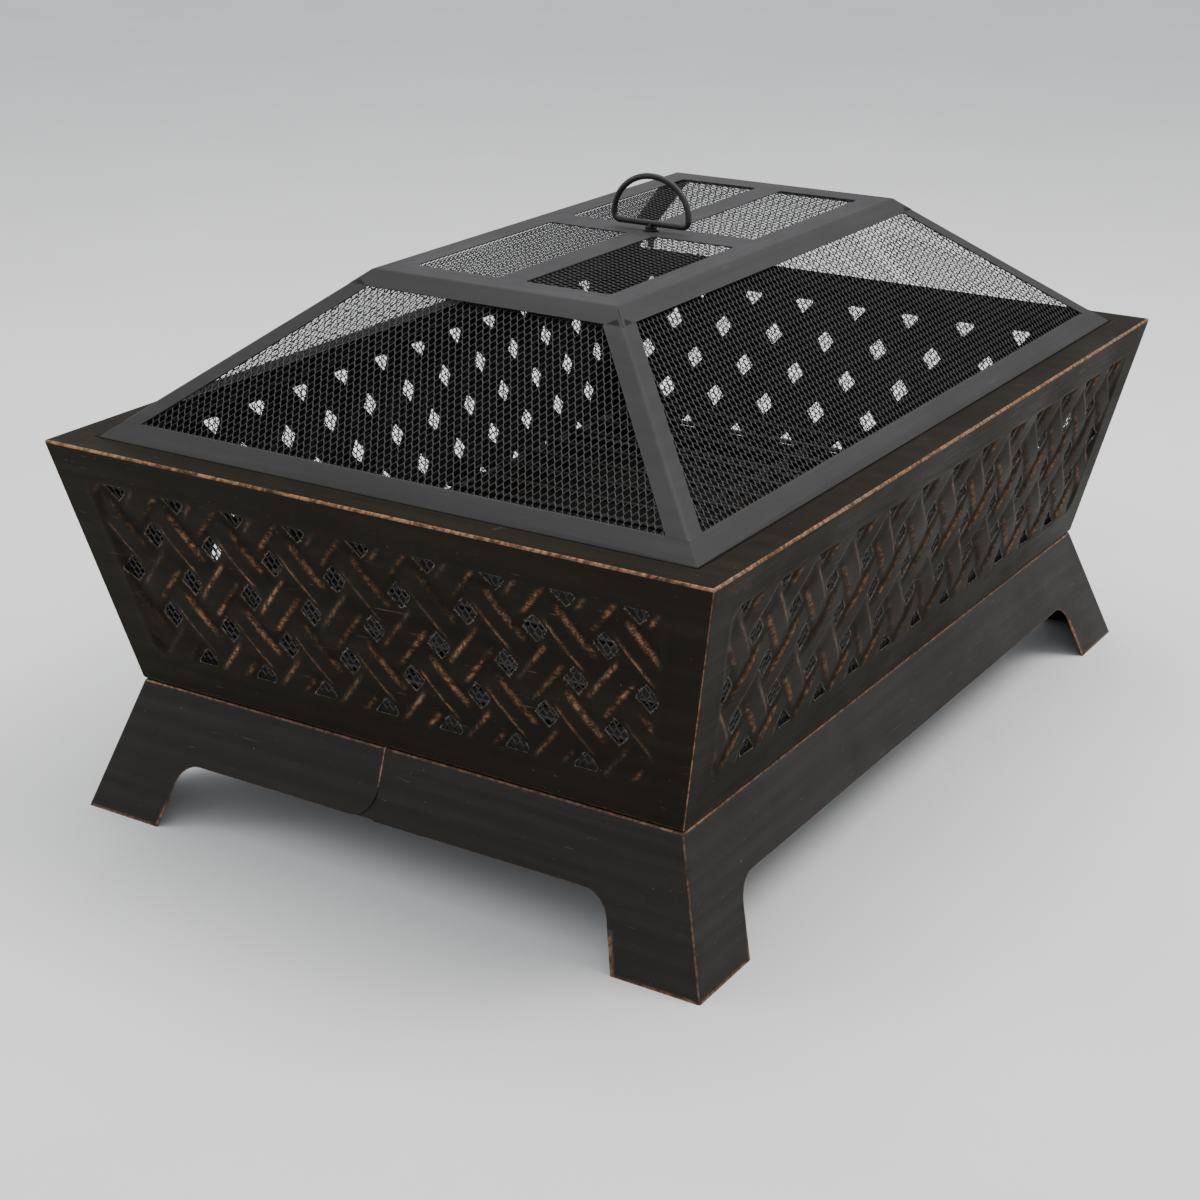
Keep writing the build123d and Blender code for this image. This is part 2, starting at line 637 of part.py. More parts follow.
# ---- log grate -------------------------------------------------------------------------------------
FRAME_Z = BAR_Z - BAR_R - GRATE_ROD
LEG_Z = FRAME_Z - 2 * GRATE_ROD
with BuildPart() as grate_frame:
    with BuildLine(Plane.XY.offset(FRAME_Z)) as outline:
        FilletPolyline(
            (-GRATE_HALF_L, -GRATE_HALF_W),
            (GRATE_HALF_L, -GRATE_HALF_W),
            (GRATE_HALF_L, GRATE_HALF_W),
            (-GRATE_HALF_L, GRATE_HALF_W),
            radius=22,
            close=True,
        )
    with BuildSketch(Plane(origin=outline.wire() @ 0, z_dir=outline.wire() % 0)):
        Circle(GRATE_ROD)
    sweep()
grate_frame.part.label = "grate_frame"
pieces.append(grate_frame)

with BuildPart() as grate_bars:
    first = -(BAR_COUNT - 1) / 2
    with Locations(*[((first + k) * BAR_PITCH, 0, BAR_Z) for k in range(BAR_COUNT)]):
        Cylinder(BAR_R, 2 * GRATE_HALF_W + 10, rotation=(90, 0, 0))
    chamfer(grate_bars.edges().filter_by(GeomType.CIRCLE), length=0.6)
grate_bars.part.label = "grate_bars"
pieces.append(grate_bars)

with BuildPart() as grate_spine:
    with Locations((0, 0, FRAME_Z)):
        Cylinder(GRATE_ROD, 2 * (GRATE_HALF_L - GRATE_ROD) - 0.2, rotation=(0, 90, 0))
grate_spine.part.label = "grate_spine"
pieces.append(grate_spine)

LEG_Y = GRATE_HALF_W + 15
LEG_FOOT = PAN_TOP + 0.3
for x, name in ((-GRATE_LEG_X, "left"), (0, "middle"), (GRATE_LEG_X, "right")):
    with BuildPart() as leg:
        with BuildLine(Plane.YZ.offset(x)) as bend:
            FilletPolyline(
                (-LEG_Y, LEG_FOOT), (-LEG_Y, LEG_Z), (LEG_Y, LEG_Z), (LEG_Y, LEG_FOOT), radius=10
            )
        with BuildSketch(Plane(origin=bend.wire() @ 0, z_dir=bend.wire() % 0)):
            Circle(GRATE_ROD)
        sweep()
    leg.part.label = "grate_" + name + "_leg"
    pieces.append(leg)

for piece in pieces:
    export_step(piece.part, "parts/" + piece.part.label + ".step")
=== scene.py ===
import json
import math

import bpy
import numpy as np
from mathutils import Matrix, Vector


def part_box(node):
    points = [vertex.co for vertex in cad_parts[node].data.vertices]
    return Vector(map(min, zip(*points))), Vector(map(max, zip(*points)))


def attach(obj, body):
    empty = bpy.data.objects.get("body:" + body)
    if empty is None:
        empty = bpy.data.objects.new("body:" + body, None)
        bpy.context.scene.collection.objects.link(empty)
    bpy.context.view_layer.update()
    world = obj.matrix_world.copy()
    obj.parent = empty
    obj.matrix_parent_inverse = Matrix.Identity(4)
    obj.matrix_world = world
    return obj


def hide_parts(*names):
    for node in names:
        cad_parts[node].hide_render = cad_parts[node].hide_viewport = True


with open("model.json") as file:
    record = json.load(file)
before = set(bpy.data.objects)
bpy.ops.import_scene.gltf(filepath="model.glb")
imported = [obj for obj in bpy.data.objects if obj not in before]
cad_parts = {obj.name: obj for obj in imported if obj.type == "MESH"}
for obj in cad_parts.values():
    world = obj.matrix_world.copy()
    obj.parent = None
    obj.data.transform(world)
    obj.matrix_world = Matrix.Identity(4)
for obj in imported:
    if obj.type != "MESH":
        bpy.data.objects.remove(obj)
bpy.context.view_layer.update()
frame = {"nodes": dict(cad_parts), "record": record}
MM = 0.001

# ---------------------------------------------------------------- sizes read from the frame
PANEL_LOW, PANEL_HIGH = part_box("front_side_panel")
SIDE_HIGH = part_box("left_side_panel")[1]
RIM_X = PANEL_HIGH.x
RIM_Y = SIDE_HIGH.y
RIM_Z = PANEL_HIGH.z
BOWL_Z = PANEL_LOW.z
SHEET = 1.0 * MM
FLARE = 47.0 * MM
BOWL_X = RIM_X - FLARE
BOWL_Y = RIM_Y - FLARE
BOWL_H = RIM_Z - BOWL_Z
SLANT = math.hypot(FLARE, BOWL_H)
RIM_WIDTH = 30.0 * MM
REBATE_DROP = 6.0 * MM
REBATE_LEDGE = 12.0 * MM
FLOOR_RETURN = 18.0 * MM

# the woven field: pitch of the holes along a row and from row to row, up the slope
PITCH = 62.5 * MM
ROW_STEP = 38.6 * MM
ROW_MID = 114.0 * MM
FIELD_LOW = 35.0 * MM
FIELD_HIGH = 194.0 * MM
FIELD_MARGIN = 33.0 * MM
FIELD_RADIUS = 14.0 * MM
RECESS = 3.9 * MM
HOLE_HALF_W = 10.6 * MM
HOLE_HALF_H = 12.2 * MM

# expanded metal: long way of the diamond runs up the slope
CELL_W = 6.6 * MM
CELL_H = 12.6 * MM
KNUCKLE = 0.95 * MM
STRAND = 0.88 * MM
LINER_NET = 0.60 * MM
LINER_TWIST = 0.28 * MM
LID_STRAND = 0.80 * MM
LID_NET = 0.50 * MM
LID_TWIST = 0.10 * MM


def smooth(a, b, x):
    t = np.clip((x - a) / (b - a), 0, 1)
    return t * t * (3 - 2 * t)


def lumps(a, b, seed):
    """A soft repeatable unevenness from a few waves, between about -1 and 1."""
    rng = np.random.default_rng(seed)
    total = 0.0
    for _ in range(7):
        ka, kb = rng.normal(0, 14, 2)
        total = total + np.sin(ka * a + kb * b + rng.uniform(0, 6.3))
    return total / 3.5


def mesh_object(name, points, faces, attributes=None, smooth_shading=True):
    mesh = bpy.data.meshes.new(name)
    mesh.from_pydata(points.tolist(), [], faces)
    mesh.update()
    for key, values in (attributes or {}).items():
        layer = mesh.attributes.new(key, "FLOAT", "POINT")
        layer.data.foreach_set("value", np.asarray(values, np.float32))
    if smooth_shading:
        mesh.polygons.foreach_set("use_smooth", [True] * len(mesh.polygons))
    obj = bpy.data.objects.new(name, mesh)
    bpy.context.scene.collection.objects.link(obj)
    return obj


# ---------------------------------------------------------------- woven side panels
def arc(centre, radius, start, stop, count):
    """Points of a bend seen in section; angles in degrees, measured from outward towards up."""
    return [
        (
            centre[0] + radius * math.cos(math.radians(start + (stop - start) * k / count)),
            centre[1] + radius * math.sin(math.radians(start + (stop - start) * k / count)),
        )
        for k in range(count + 1)
    ]


def panel_section(row_gap):
    """The sheet's outer skin in section as (outward from the bowl's foot, height) points."""
    tilt = math.degrees(math.atan2(FLARE, BOWL_H))
    up = (FLARE / SLANT, BOWL_H / SLANT)
    r_foot, r_rim, r_drop, r_ledge = 3.0 * MM, 1.9 * MM, 1.6 * MM, 1.2 * MM
    # bend at the foot: tangent to the floor return and to the wall
    reach = r_foot * math.tan(math.radians((90 - tilt) / 2))
    foot = arc((-reach, BOWL_Z + r_foot), r_foot, -90, -tilt, 5)
    line = [(-FLOOR_RETURN, BOWL_Z)] + foot
    # bend at the rim: tangent to the wall and to the flat rim
    cut = r_rim / math.tan(math.radians((90 - tilt) / 2))
    centre = (FLARE - cut, RIM_Z - r_rim)
    rim = arc(centre, r_rim, -tilt, 90, 8)
    low_s = math.hypot(foot[-1][0], foot[-1][1] - BOWL_Z)
    high_s = math.hypot(rim[0][0], rim[0][1] - BOWL_Z)
    rows = int(round((high_s - low_s) / row_gap))
    wall = [
        (up[0] * s, BOWL_Z + up[1] * s)
        for s in np.linspace(low_s, high_s, rows + 1)[1:-1]
    ]
    inner = FLARE - RIM_WIDTH
    drop = arc((inner + r_drop, RIM_Z - r_drop), r_drop, 90, 180, 5)
    floor_z = RIM_Z - REBATE_DROP
    ledge = arc((inner - r_ledge, floor_z + r_ledge), -r_ledge, 180, 90, 4)
    flat = [
        (rim[-1][0] + (drop[0][0] - rim[-1][0]) * k / 6, RIM_Z) for k in range(1, 6)
    ]
    line += wall + rim + flat + drop + ledge + [(inner - REBATE_LEDGE, floor_z)]
    return np.array(line)


def strand_height(t, s):
    """Height of the basket weave over the stamped recess, and where its strands rub bright."""
    y = (s - ROW_MID) / ROW_STEP
    x = t / (PITCH / 2)
    alpha, beta = (x - y) / 2, (x + y) / 2
    run = math.hypot(PITCH / 2, ROW_STEP)
    across = PITCH * ROW_STEP / run
    heights, rubs = [], []
    for along, side in ((alpha, beta), (beta, alpha)):
        index = np.floor(side)
        q = np.abs(side - index - 0.5) * across
        wave = np.cos(math.pi * (along - 0.5 - index - (1 if along is alpha else 0)))
        over = smooth(-0.15, 0.45, wave)
        wave = np.sign(wave) * np.abs(wave) ** 0.75
        crown = 1 - smooth(8.4 * MM, 14.6 * MM, q)
        heights.append(crown * (2.1 * MM + 1.5 * MM * wave))
        rubs.append(np.exp(-(((q - 9.6 * MM) / (1.55 * MM)) ** 2)) * over)
    soft = 0.35 * MM
    top = np.maximum(heights[0], heights[1])
    gap = np.abs(heights[0] - heights[1])
    top = top + soft * 0.5 * np.exp(-gap / soft)
    rub = np.where(heights[0] > heights[1], rubs[0], rubs[1])
    return top, rub


def hole_outlines(reach):
    """The punched diamonds with eased corners; the top and bottom rows are cut off straight."""
    outlines = []
    for row in range(5):
        y = ROW_MID + (2 - row) * ROW_STEP
        if row % 2:
            xs = [(k + 0.5) * PITCH for k in range(-reach, reach)]
        else:
            short = 1 if row == 4 else 0
            xs = [k * PITCH for k in range(-reach + short, reach + 1 - short)]
        e = 0.10
        ring = [
            (1 - e, -e), (1 - e * 0.45, 0), (1 - e, e), (e, 1 - e), (0, 1 - e * 0.45), (-e, 1 - e),
            (-1 + e, e), (-1 + e * 0.45, 0), (-1 + e, -e), (-e, -1 + e), (0, -1 + e * 0.45), (e, -1 + e),
        ]
        for x in xs:
            shape = np.array([(x + a * HOLE_HALF_W, y + b * HOLE_HALF_H) for a, b in ring])
            if row in (0, 4):
                limit = FIELD_HIGH if row == 0 else FIELD_LOW
                shape = clip_half(shape, (0, 1 if row == 0 else -1), limit * (1 if row == 0 else -1))
            outlines.append(shape)
    return outlines


def clip_half(shape, normal, limit, keep_inside=True):
    """Cuts a flat polygon by a line: keeps where point . normal <= limit, or the rest."""
    sign = 1 if keep_inside else -1
    d = sign * (shape @ np.array(normal) - limit)
    out = []
    for k in range(len(shape)):
        j = (k + 1) % len(shape)
        if d[k] <= 0:
            out.append(shape[k])
        if (d[k] < 0 < d[j]) or (d[j] < 0 < d[k]):
            f = d[k] / (d[k] - d[j])
            out.append(shape[k] + f * (shape[j] - shape[k]))
    return np.array(out) if len(out) >= 3 else np.zeros((0, 2))


def outside_pieces(cell, outline):
    """The parts of a small convex cell that lie outside a convex hole."""
    pieces, rest = [], cell
    n = len(outline)
    for k in range(n):
        a, b = outline[k], outline[(k + 1) % n]
        normal = np.array((b[1] - a[1], a[0] - b[0]))
        normal = normal / np.linalg.norm(normal)
        limit = float(a @ normal)
        out = clip_half(rest, normal, limit, keep_inside=False)
        if len(out) and polygon_area(out) > 1e-9:
            pieces.append(out)
        rest = clip_half(rest, normal, limit)
        if not len(rest):
            break
    return pieces


def polygon_area(p):
    return 0.5 * abs(np.dot(p[:, 0], np.roll(p[:, 1], -1)) - np.dot(p[:, 1], np.roll(p[:, 0], -1)))


def woven_panel(name, along_x, turn, row_gap=2.0 * MM, seed=1):
    """One pressed and punched bowl wall, from its floor return to the lid's rebate."""
    half_foot = BOWL_X if along_x else BOWL_Y
    reach = 6 if along_x else 4
    section = panel_section(row_gap)
    tangent = np.gradient(section, axis=0)
    tangent /= np.linalg.norm(tangent, axis=1)[:, None]
    normal = np.stack([tangent[:, 1], -tangent[:, 0]], axis=1)
    r_corner = 1.5 * MM
    corner_steps = 5
    columns = int(round(2 * (half_foot + FLARE) / row_gap))
    u = np.linspace(-1, 1, columns + 1)
    t_rows, s_rows, bend_rows = [], [], []
    for (g, z), n in zip(section, normal, strict=True):
        half = half_foot + g
        inside = half - r_corner
        t = u * inside
        wallness = min(1.0, max(0.0, n[0] / 0.95))
        tail_t, tail_n = [], []
        for k in range(1, corner_steps + 1):
            phi = math.radians(45 * k / corner_steps)
            round_d = r_corner * (1 - math.sin(phi))
            flat_d = r_corner * (1 - k / corner_steps)
            tail_t.append(half - (wallness * round_d + (1 - wallness) * flat_d))
            tail_n.append(-r_corner * (1 - math.cos(phi)) * wallness)
        t_rows.append(np.concatenate([-np.array(tail_t)[::-1], t, np.array(tail_t)]))
        bend = np.concatenate([np.array(tail_n)[::-1], np.zeros(len(t)), np.array(tail_n)])
        bend_rows.append(bend)
        s = (z - BOWL_Z) / BOWL_H * SLANT if n[0] > 0.9 else (-1.0 if z < BOWL_Z + 0.01 else 1.0)
        s_rows.append(np.full(len(t_rows[-1]), s))
    t = np.array(t_rows)
    s = np.array(s_rows)
    bend = np.array(bend_rows)
    depth, rub = wall_height(t, s, half_foot, seed)
    on_wall = (s > 0) & (s < SLANT)
    depth, rub = depth * on_wall, rub * on_wall
    g = section[:, 0][:, None] + normal[:, 0][:, None] * (depth + bend)
    z = section[:, 1][:, None] + normal[:, 1][:, None] * depth
    corner_rub = smooth(-0.02 * MM, -0.35 * MM, bend) * (0.95 - 0.5 * smooth(0.3 * SLANT, SLANT, s))
    is_rim = (normal[:, 0] > 0.12) & (normal[:, 1] > -0.12) & (section[:, 1] > RIM_Z - 4 * MM)
    rim_rub = np.where(is_rim, 1.0, 0.0)[:, None] + 0 * t
    is_foot = (normal[:, 1] < -0.25) & (normal[:, 1] > -0.5) & (section[:, 1] < BOWL_Z + 4 * MM)
    foot_rub = np.where(is_foot, 0.25, 0.0)[:, None] + 0 * t
    rows_n, cols_n = t.shape
    flat_t, flat_s = t.ravel(), s.ravel()
    points2 = np.stack([flat_t, flat_s], axis=1)
    outlines = hole_outlines(reach)
    holes_lo = np.array([o.min(0) for o in outlines])
    holes_hi = np.array([o.max(0) for o in outlines])
    quads = []
    extra_points, extra_faces = [], []
    index = np.arange(rows_n * cols_n).reshape(rows_n, cols_n)
    cut = np.full((rows_n - 1, cols_n - 1), -1)
    for k in range(len(outlines)):
        r_hit = (s[1:, 0] > holes_lo[k][1]) & (s[:-1, 0] < holes_hi[k][1])
        r_hit &= (s[:-1, 0] > 0) & (s[1:, 0] < SLANT) & (s[1:, 0] > s[:-1, 0])
        for r in np.nonzero(r_hit)[0]:
            c_hit = (np.maximum(t[r, 1:], t[r + 1, 1:]) > holes_lo[k][0]) & (
                np.minimum(t[r, :-1], t[r + 1, :-1]) < holes_hi[k][0]
            )
            cut[r, c_hit] = k
    for r in range(rows_n - 1):
        for c in range(cols_n - 1):
            ids = (index[r, c], index[r, c + 1], index[r + 1, c + 1], index[r + 1, c])
            k = cut[r, c]
            if k < 0:
                quads.append(tuple(int(i) for i in ids))
                continue
            cell = points2[list(ids)]
            whole = polygon_area(cell)
            pieces = outside_pieces(cell, outlines[k])
            left = sum(polygon_area(p) for p in pieces)
            if left > 0.9999 * whole:
                quads.append(tuple(int(i) for i in ids))
                continue
            for p in pieces:
                extra_faces.append([len(extra_points) + i for i in range(len(p))])
                extra_points.extend(p.tolist())
    # heights for the points added along the hole edges
    add2 = np.array(extra_points) if extra_points else np.zeros((0, 2))
    extra_h, extra_rub = wall_height(add2[:, 0], add2[:, 1], half_foot, seed)
    up = np.array([FLARE / SLANT, BOWL_H / SLANT])
    n_wall = np.array([BOWL_H / SLANT, -FLARE / SLANT])
    g_add = add2[:, 1] * up[0] + n_wall[0] * extra_h
    z_add = BOWL_Z + add2[:, 1] * up[1] + n_wall[1] * extra_h
    base = len(flat_t)
    faces = quads + [tuple(base + i for i in f) for f in extra_faces]
    all_t = np.concatenate([flat_t, add2[:, 0]])
    all_g = np.concatenate([g.ravel(), g_add])
    all_z = np.concatenate([z.ravel(), z_add])
    near_hole = np.zeros(len(all_t))
    near_hole[base:] = 1.0
    weave_rub = np.concatenate([rub.ravel(), extra_rub])
    bends_rub = np.maximum(np.maximum(corner_rub, rim_rub), foot_rub)
    frame_rub = np.concatenate([bends_rub.ravel(), 0 * add2[:, 0]])
    half_other = BOWL_Y if along_x else BOWL_X
    if along_x:
        pts = np.stack([all_t, -(half_other + all_g), all_z], axis=1)
    else:
        pts = np.stack([-(half_other + all_g), -all_t, all_z], axis=1)
    if turn:
        pts[:, :2] *= -1
    obj = mesh_object(
        name,
        pts,
        faces,
        {
            "weave_rub": weave_rub,
            "edge_rub": frame_rub,
            "hole_rub": near_hole,
        },
    )
    weld = obj.modifiers.new("weld", "WELD")
    weld.merge_threshold = 0.02 * MM
    solid = obj.modifiers.new("sheet", "SOLIDIFY")
    solid.thickness = SHEET
    solid.offset = -1
    solid.material_offset = 1
    crisp = obj.modifiers.new("punched edges", "EDGE_SPLIT")
    crisp.split_angle = math.radians(42)
    return obj


def wall_height(t, s, half_foot, seed):
    """The wall's stamped height, and its rubbing, at any point of its plane."""
    # the stamped field, eased along its rounded outline
    low, high = FIELD_LOW - 2 * MM, FIELD_HIGH + 2 * MM
    mid = (low + high) / 2
    lean = FLARE / SLANT
    half_t = half_foot - FIELD_MARGIN + np.clip(s, low, high) * lean
    qx = np.abs(t) - half_t + FIELD_RADIUS
    qy = np.abs(s - mid) - (high - low) / 2 + FIELD_RADIUS
    edge = (
        np.hypot(np.maximum(qx, 0), np.maximum(qy, 0))
        + np.minimum(np.maximum(qx, qy), 0)
        - FIELD_RADIUS
    )
    inside = smooth(0.5 * MM, -8.5 * MM, edge)
    weave, rub = strand_height(t, s)
    lip = 0.25 * MM * np.exp(-(((edge - 1.5 * MM) / (3 * MM)) ** 2))
    dish = lumps(t * 0.35, s * 0.6, seed) * 0.28 * MM
    dish = dish * smooth(0, 25 * MM, half_foot + s * lean - np.abs(t))
    dish = dish * smooth(0, 14 * MM, s) * smooth(SLANT, SLANT - 14 * MM, s)
    return inside * (-RECESS + weave) + lip + dish, rub * inside


# ---------------------------------------------------------------- expanded metal
def expanded_sheet(name, inside, to_space, box2, thickness, strand, twist_by):
    """Flattened expanded metal filling a flat region: six-sided openings with a shared net of strands."""
    (t0, t1), (s0, s1) = box2
    w, h = CELL_W / 2, CELL_H / 2
    ring = [(w, -KNUCKLE), (w, KNUCKLE), (0, h - KNUCKLE), (-w, KNUCKLE), (-w, -KNUCKLE), (0, -(h - KNUCKLE))]
    ring = np.array(ring)
    hole = ring * (1 - strand / 2 / (0.96 * w))
    lookup, points, faces, twist = {}, [], [], []

    def vertex(x, y, lift):
        key = (round(x * 1e6), round(y * 1e6))
        if key not in lookup:
            lookup[key] = len(points)
            points.append((x, y))
            twist.append(lift)
        return lookup[key]

    rows = int((s1 - s0) / h) + 2
    cols = int((t1 - t0) / CELL_W) + 3
    for r in range(rows):
        for c in range(cols):
            cx = t0 + c * CELL_W + (w if r % 2 else 0)
            cy = s0 + r * h
            if not inside(cx, cy):
                continue
            outer = [vertex(cx + x, cy + y, 0.0) for x, y in ring]
            inner = [vertex(cx + x, cy + y, twist_by if y > 0 else -twist_by) for x, y in hole]
            for k in range(6):
                j = (k + 1) % 6
                faces.append((outer[k], outer[j], inner[j], inner[k]))
    flat = np.array(points)
    pts = to_space(flat[:, 0], flat[:, 1], np.array(twist))
    obj = mesh_object(name, pts, faces, smooth_shading=False)
    solid = obj.modifiers.new("strand", "SOLIDIFY")
    solid.thickness = thickness
    solid.offset = 0
    return obj


def wall_to_space(along_x, turn, offset):
    def place(t, s, lift):
        g = s * FLARE / SLANT + (offset + lift) * BOWL_H / SLANT
        z = BOWL_Z + s * BOWL_H / SLANT - (offset + lift) * FLARE / SLANT
        if along_x:
            p = np.stack([t, -(BOWL_Y + g), z], axis=1)
        else:
            p = np.stack([-(BOWL_X + g), -t, z], axis=1)
        if turn:
            p[:, :2] *= -1
        return p

    return place


# ---------------------------------------------------------------- bent sheet: base, cap and hip bars
RAIL_LOW, RAIL_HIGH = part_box("lid_front_rail")
RAIL_X = RAIL_HIGH.x
RAIL_Y = -RAIL_LOW.y
RAIL_TOP = RAIL_HIGH.z


def cut_cells(t, s, outlines):
    """Splits a grid of cells into whole quads and the pieces left where holes cut it."""
    rows_n, cols_n = t.shape
    index = np.arange(rows_n * cols_n).reshape(rows_n, cols_n)
    hits = {}
    for k, outline in enumerate(outlines):
        lo, hi = outline.min(0), outline.max(0)
        s_lo = np.minimum(s[:-1, :-1], s[1:, :-1])
        s_hi = np.maximum(s[:-1, :-1], s[1:, :-1])
        t_lo = np.minimum(t[:-1, :-1], t[1:, :-1])
        t_hi = np.maximum(t[:-1, 1:], t[1:, 1:])
        touched = (s_hi > lo[1]) & (s_lo < hi[1]) & (t_hi > lo[0]) & (t_lo < hi[0])
        for r, c in zip(*np.nonzero(touched), strict=True):
            hits.setdefault((int(r), int(c)), []).append(k)
    quads, polygons = [], []
    flat = np.stack([t.ravel(), s.ravel()], axis=1)
    for r in range(rows_n - 1):
        for c in range(cols_n - 1):
            ids = [int(i) for i in (index[r, c], index[r, c + 1], index[r + 1, c + 1], index[r + 1, c])]
            if (r, c) not in hits:
                quads.append(tuple(ids))
                continue
            cell = flat[ids]
            parts = [cell]
            for k in hits[(r, c)]:
                parts = [piece for part in parts for piece in outside_pieces(part, outlines[k])]
            if sum(polygon_area(p) for p in parts) > 0.9999 * polygon_area(cell):
                quads.append(tuple(ids))
            else:
                polygons += parts
    return quads, polygons


def turned_corner(t, half, steps, radius):
    """Adds columns that follow a rounded upright corner at both ends of a row."""
    inside = half - radius
    tail_t, tail_b = [], []
    for k in range(1, steps + 1):
        phi = math.radians(45 * k / steps)
        tail_t.append(inside + radius * math.sin(phi))
        tail_b.append(-radius * (1 - math.cos(phi)))
    row = np.concatenate([-np.array(tail_t)[::-1], t * inside, np.array(tail_t)])
    bend = np.concatenate([np.array(tail_b)[::-1], np.zeros(len(t)), np.array(tail_b)])
    return row, bend


BASE_LOW, BASE_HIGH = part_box("front_base_half")
FOOT_X = BASE_HIGH.x
FOOT_Y = -BASE_LOW.y
BASE_STEP = 40.0 * MM
BASE_SHEET = 1.2 * MM
BASE_RETURN = 24.0 * MM
FOOT_WIDTH = 79.0 * MM
ARCH_Z = 58.0 * MM
ARCH_LEAN = 0.30
ARCH_RADIUS = 26.0 * MM
LAP_AT = 9.0 * MM
LAP_ROUND = 24.0 * MM
LAP_HEIGHT = 30.0 * MM


def arch_outline(half_foot):
    """The opening between two feet: leaning sides and well rounded upper corners."""
    foot = half_foot - FOOT_WIDTH
    top = foot - ARCH_LEAN * ARCH_Z
    lean = math.atan(ARCH_LEAN)
    cut = ARCH_RADIUS * math.tan((math.pi / 2 - lean) / 2)
    points = [(foot + ARCH_LEAN * 2 * MM, -2 * MM)]
    for k in range(9):
        a = lean + (math.pi / 2 - lean) * k / 8
        points.append(
            (top - cut + ARCH_RADIUS * math.cos(a), ARCH_Z - ARCH_RADIUS + ARCH_RADIUS * math.sin(a))
        )
    return np.array(points + [(-x, z) for x, z in reversed(points)])


def base_section():
    """The base's outer skin in section, from the foot up and over the bent top."""
    radius = 4.2 * MM
    lean = math.degrees(math.atan2(BASE_STEP, BOWL_Z))
    reach = radius * math.tan(math.radians((90 - lean) / 2))
    bend = arc((-reach, BOWL_Z - 0.05 * MM - radius), radius, lean, 90, 7)
    wall = [(BASE_STEP * (1 - z / BOWL_Z), z) for z in np.linspace(0, bend[0][1], 42)[:-1]]
    return np.array(wall + bend + [(-BASE_RETURN, BOWL_Z - 0.05 * MM)])


def base_face(along_x, turn, outlines, seed, rub_end):
    """One face of the base as points, faces, edge rubbing and painted crease shade, cut to its arch and lap.
    """
    section = base_section()
    tangent = np.gradient(section, axis=0)
    tangent /= np.linalg.norm(tangent, axis=1)[:, None]
    normal = np.stack([tangent[:, 1], -tangent[:, 0]], axis=1)
    half_top = (FOOT_X if along_x else FOOT_Y) - BASE_STEP
    radius = 2.0 * MM
    rows, bends = [], []
    u = np.linspace(-1, 1, int((half_top + BASE_STEP) / (3.0 * MM)))
    for g, z in section:
        row, bend = turned_corner(u, half_top + g, 5, radius)
        rows.append(row)
        bends.append(bend)
    t, bend = np.array(rows), np.array(bends)
    step = np.hypot(*np.diff(section, axis=0).T)
    path = section[:, 1].copy()
    for k in range(1, len(path)):
        if normal[k, 0] < 0.93:
            path[k] = path[k - 1] + step[k - 1]
    s = np.repeat(path[:, None], t.shape[1], axis=1)
    live = normal[:, 0] > 0.9
    quads, polygons = cut_cells(t, s, outlines)
    drift = lumps(t * 0.3, s * 0.5, seed) * 0.22 * MM
    drift = drift * smooth(0, 30 * MM, half_top + BASE_STEP * 0.5 - np.abs(t)) * live[:, None]
    g = section[:, 0][:, None] + normal[:, 0][:, None] * (drift + bend)
    z = section[:, 1][:, None] + normal[:, 1][:, None] * drift
    corner = smooth(-0.01 * MM, -0.3 * MM, bend)
    rise = normal[:, 1][:, None] + 0 * t
    top = smooth(0.33, 0.45, rise) * smooth(0.80, 0.66, rise) * 0.62
    top = top * (0.55 + 0.45 * smooth(60 * MM, 10 * MM, half_top - np.abs(t)))
    # painted shade: the upward-facing top bend and return are marked to be painted near-black, standing in
    # for the shadow in the crease where the bowl sits on the base
    painted_crease_shade = smooth(0.72, 0.90, rise)
    low = smooth(2.5 * MM, 0.0, s) * 0.6
    edge = np.maximum(np.maximum(corner * 0.30, top), low)
    add = np.concatenate(polygons) if polygons else np.zeros((0, 2))
    add_g = np.interp(add[:, 1], path, section[:, 0])
    add_z = np.interp(add[:, 1], path, section[:, 1])
    near = np.zeros(len(add))
    for outline in outlines:
        for a, b in zip(outline, np.roll(outline, -1, axis=0), strict=True):
            along = (b - a) / np.linalg.norm(b - a)
            away = np.abs((add - a) @ np.array((-along[1], along[0])))
            within = ((add - a) @ along > -0.1 * MM) & ((add - b) @ along < 0.1 * MM)
            near = np.maximum(near, (away < 0.05 * MM) & within)
    rub = near * np.where(np.abs(add[:, 0]) < 40 * MM, rub_end * (add[:, 1] > 84 * MM), 0.6)
    all_t = np.concatenate([t.ravel(), add[:, 0]])
    all_g = np.concatenate([g.ravel(), add_g])
    all_z = np.concatenate([z.ravel(), add_z])
    half_other = (FOOT_Y if along_x else FOOT_X) - BASE_STEP
    out = half_other + all_g
    pts = np.stack([all_t, -out, all_z], axis=1) if along_x else np.stack([-out, -all_t, all_z], axis=1)
    if turn:
        pts[:, :2] *= -1
    base, faces = t.size, list(quads)
    count = base
    for p in polygons:
        faces.append(tuple(range(count, count + len(p))))
        count += len(p)
    return pts, faces, np.concatenate([edge.ravel(), rub]), np.concatenate([painted_crease_shade.ravel(), 0 * rub])


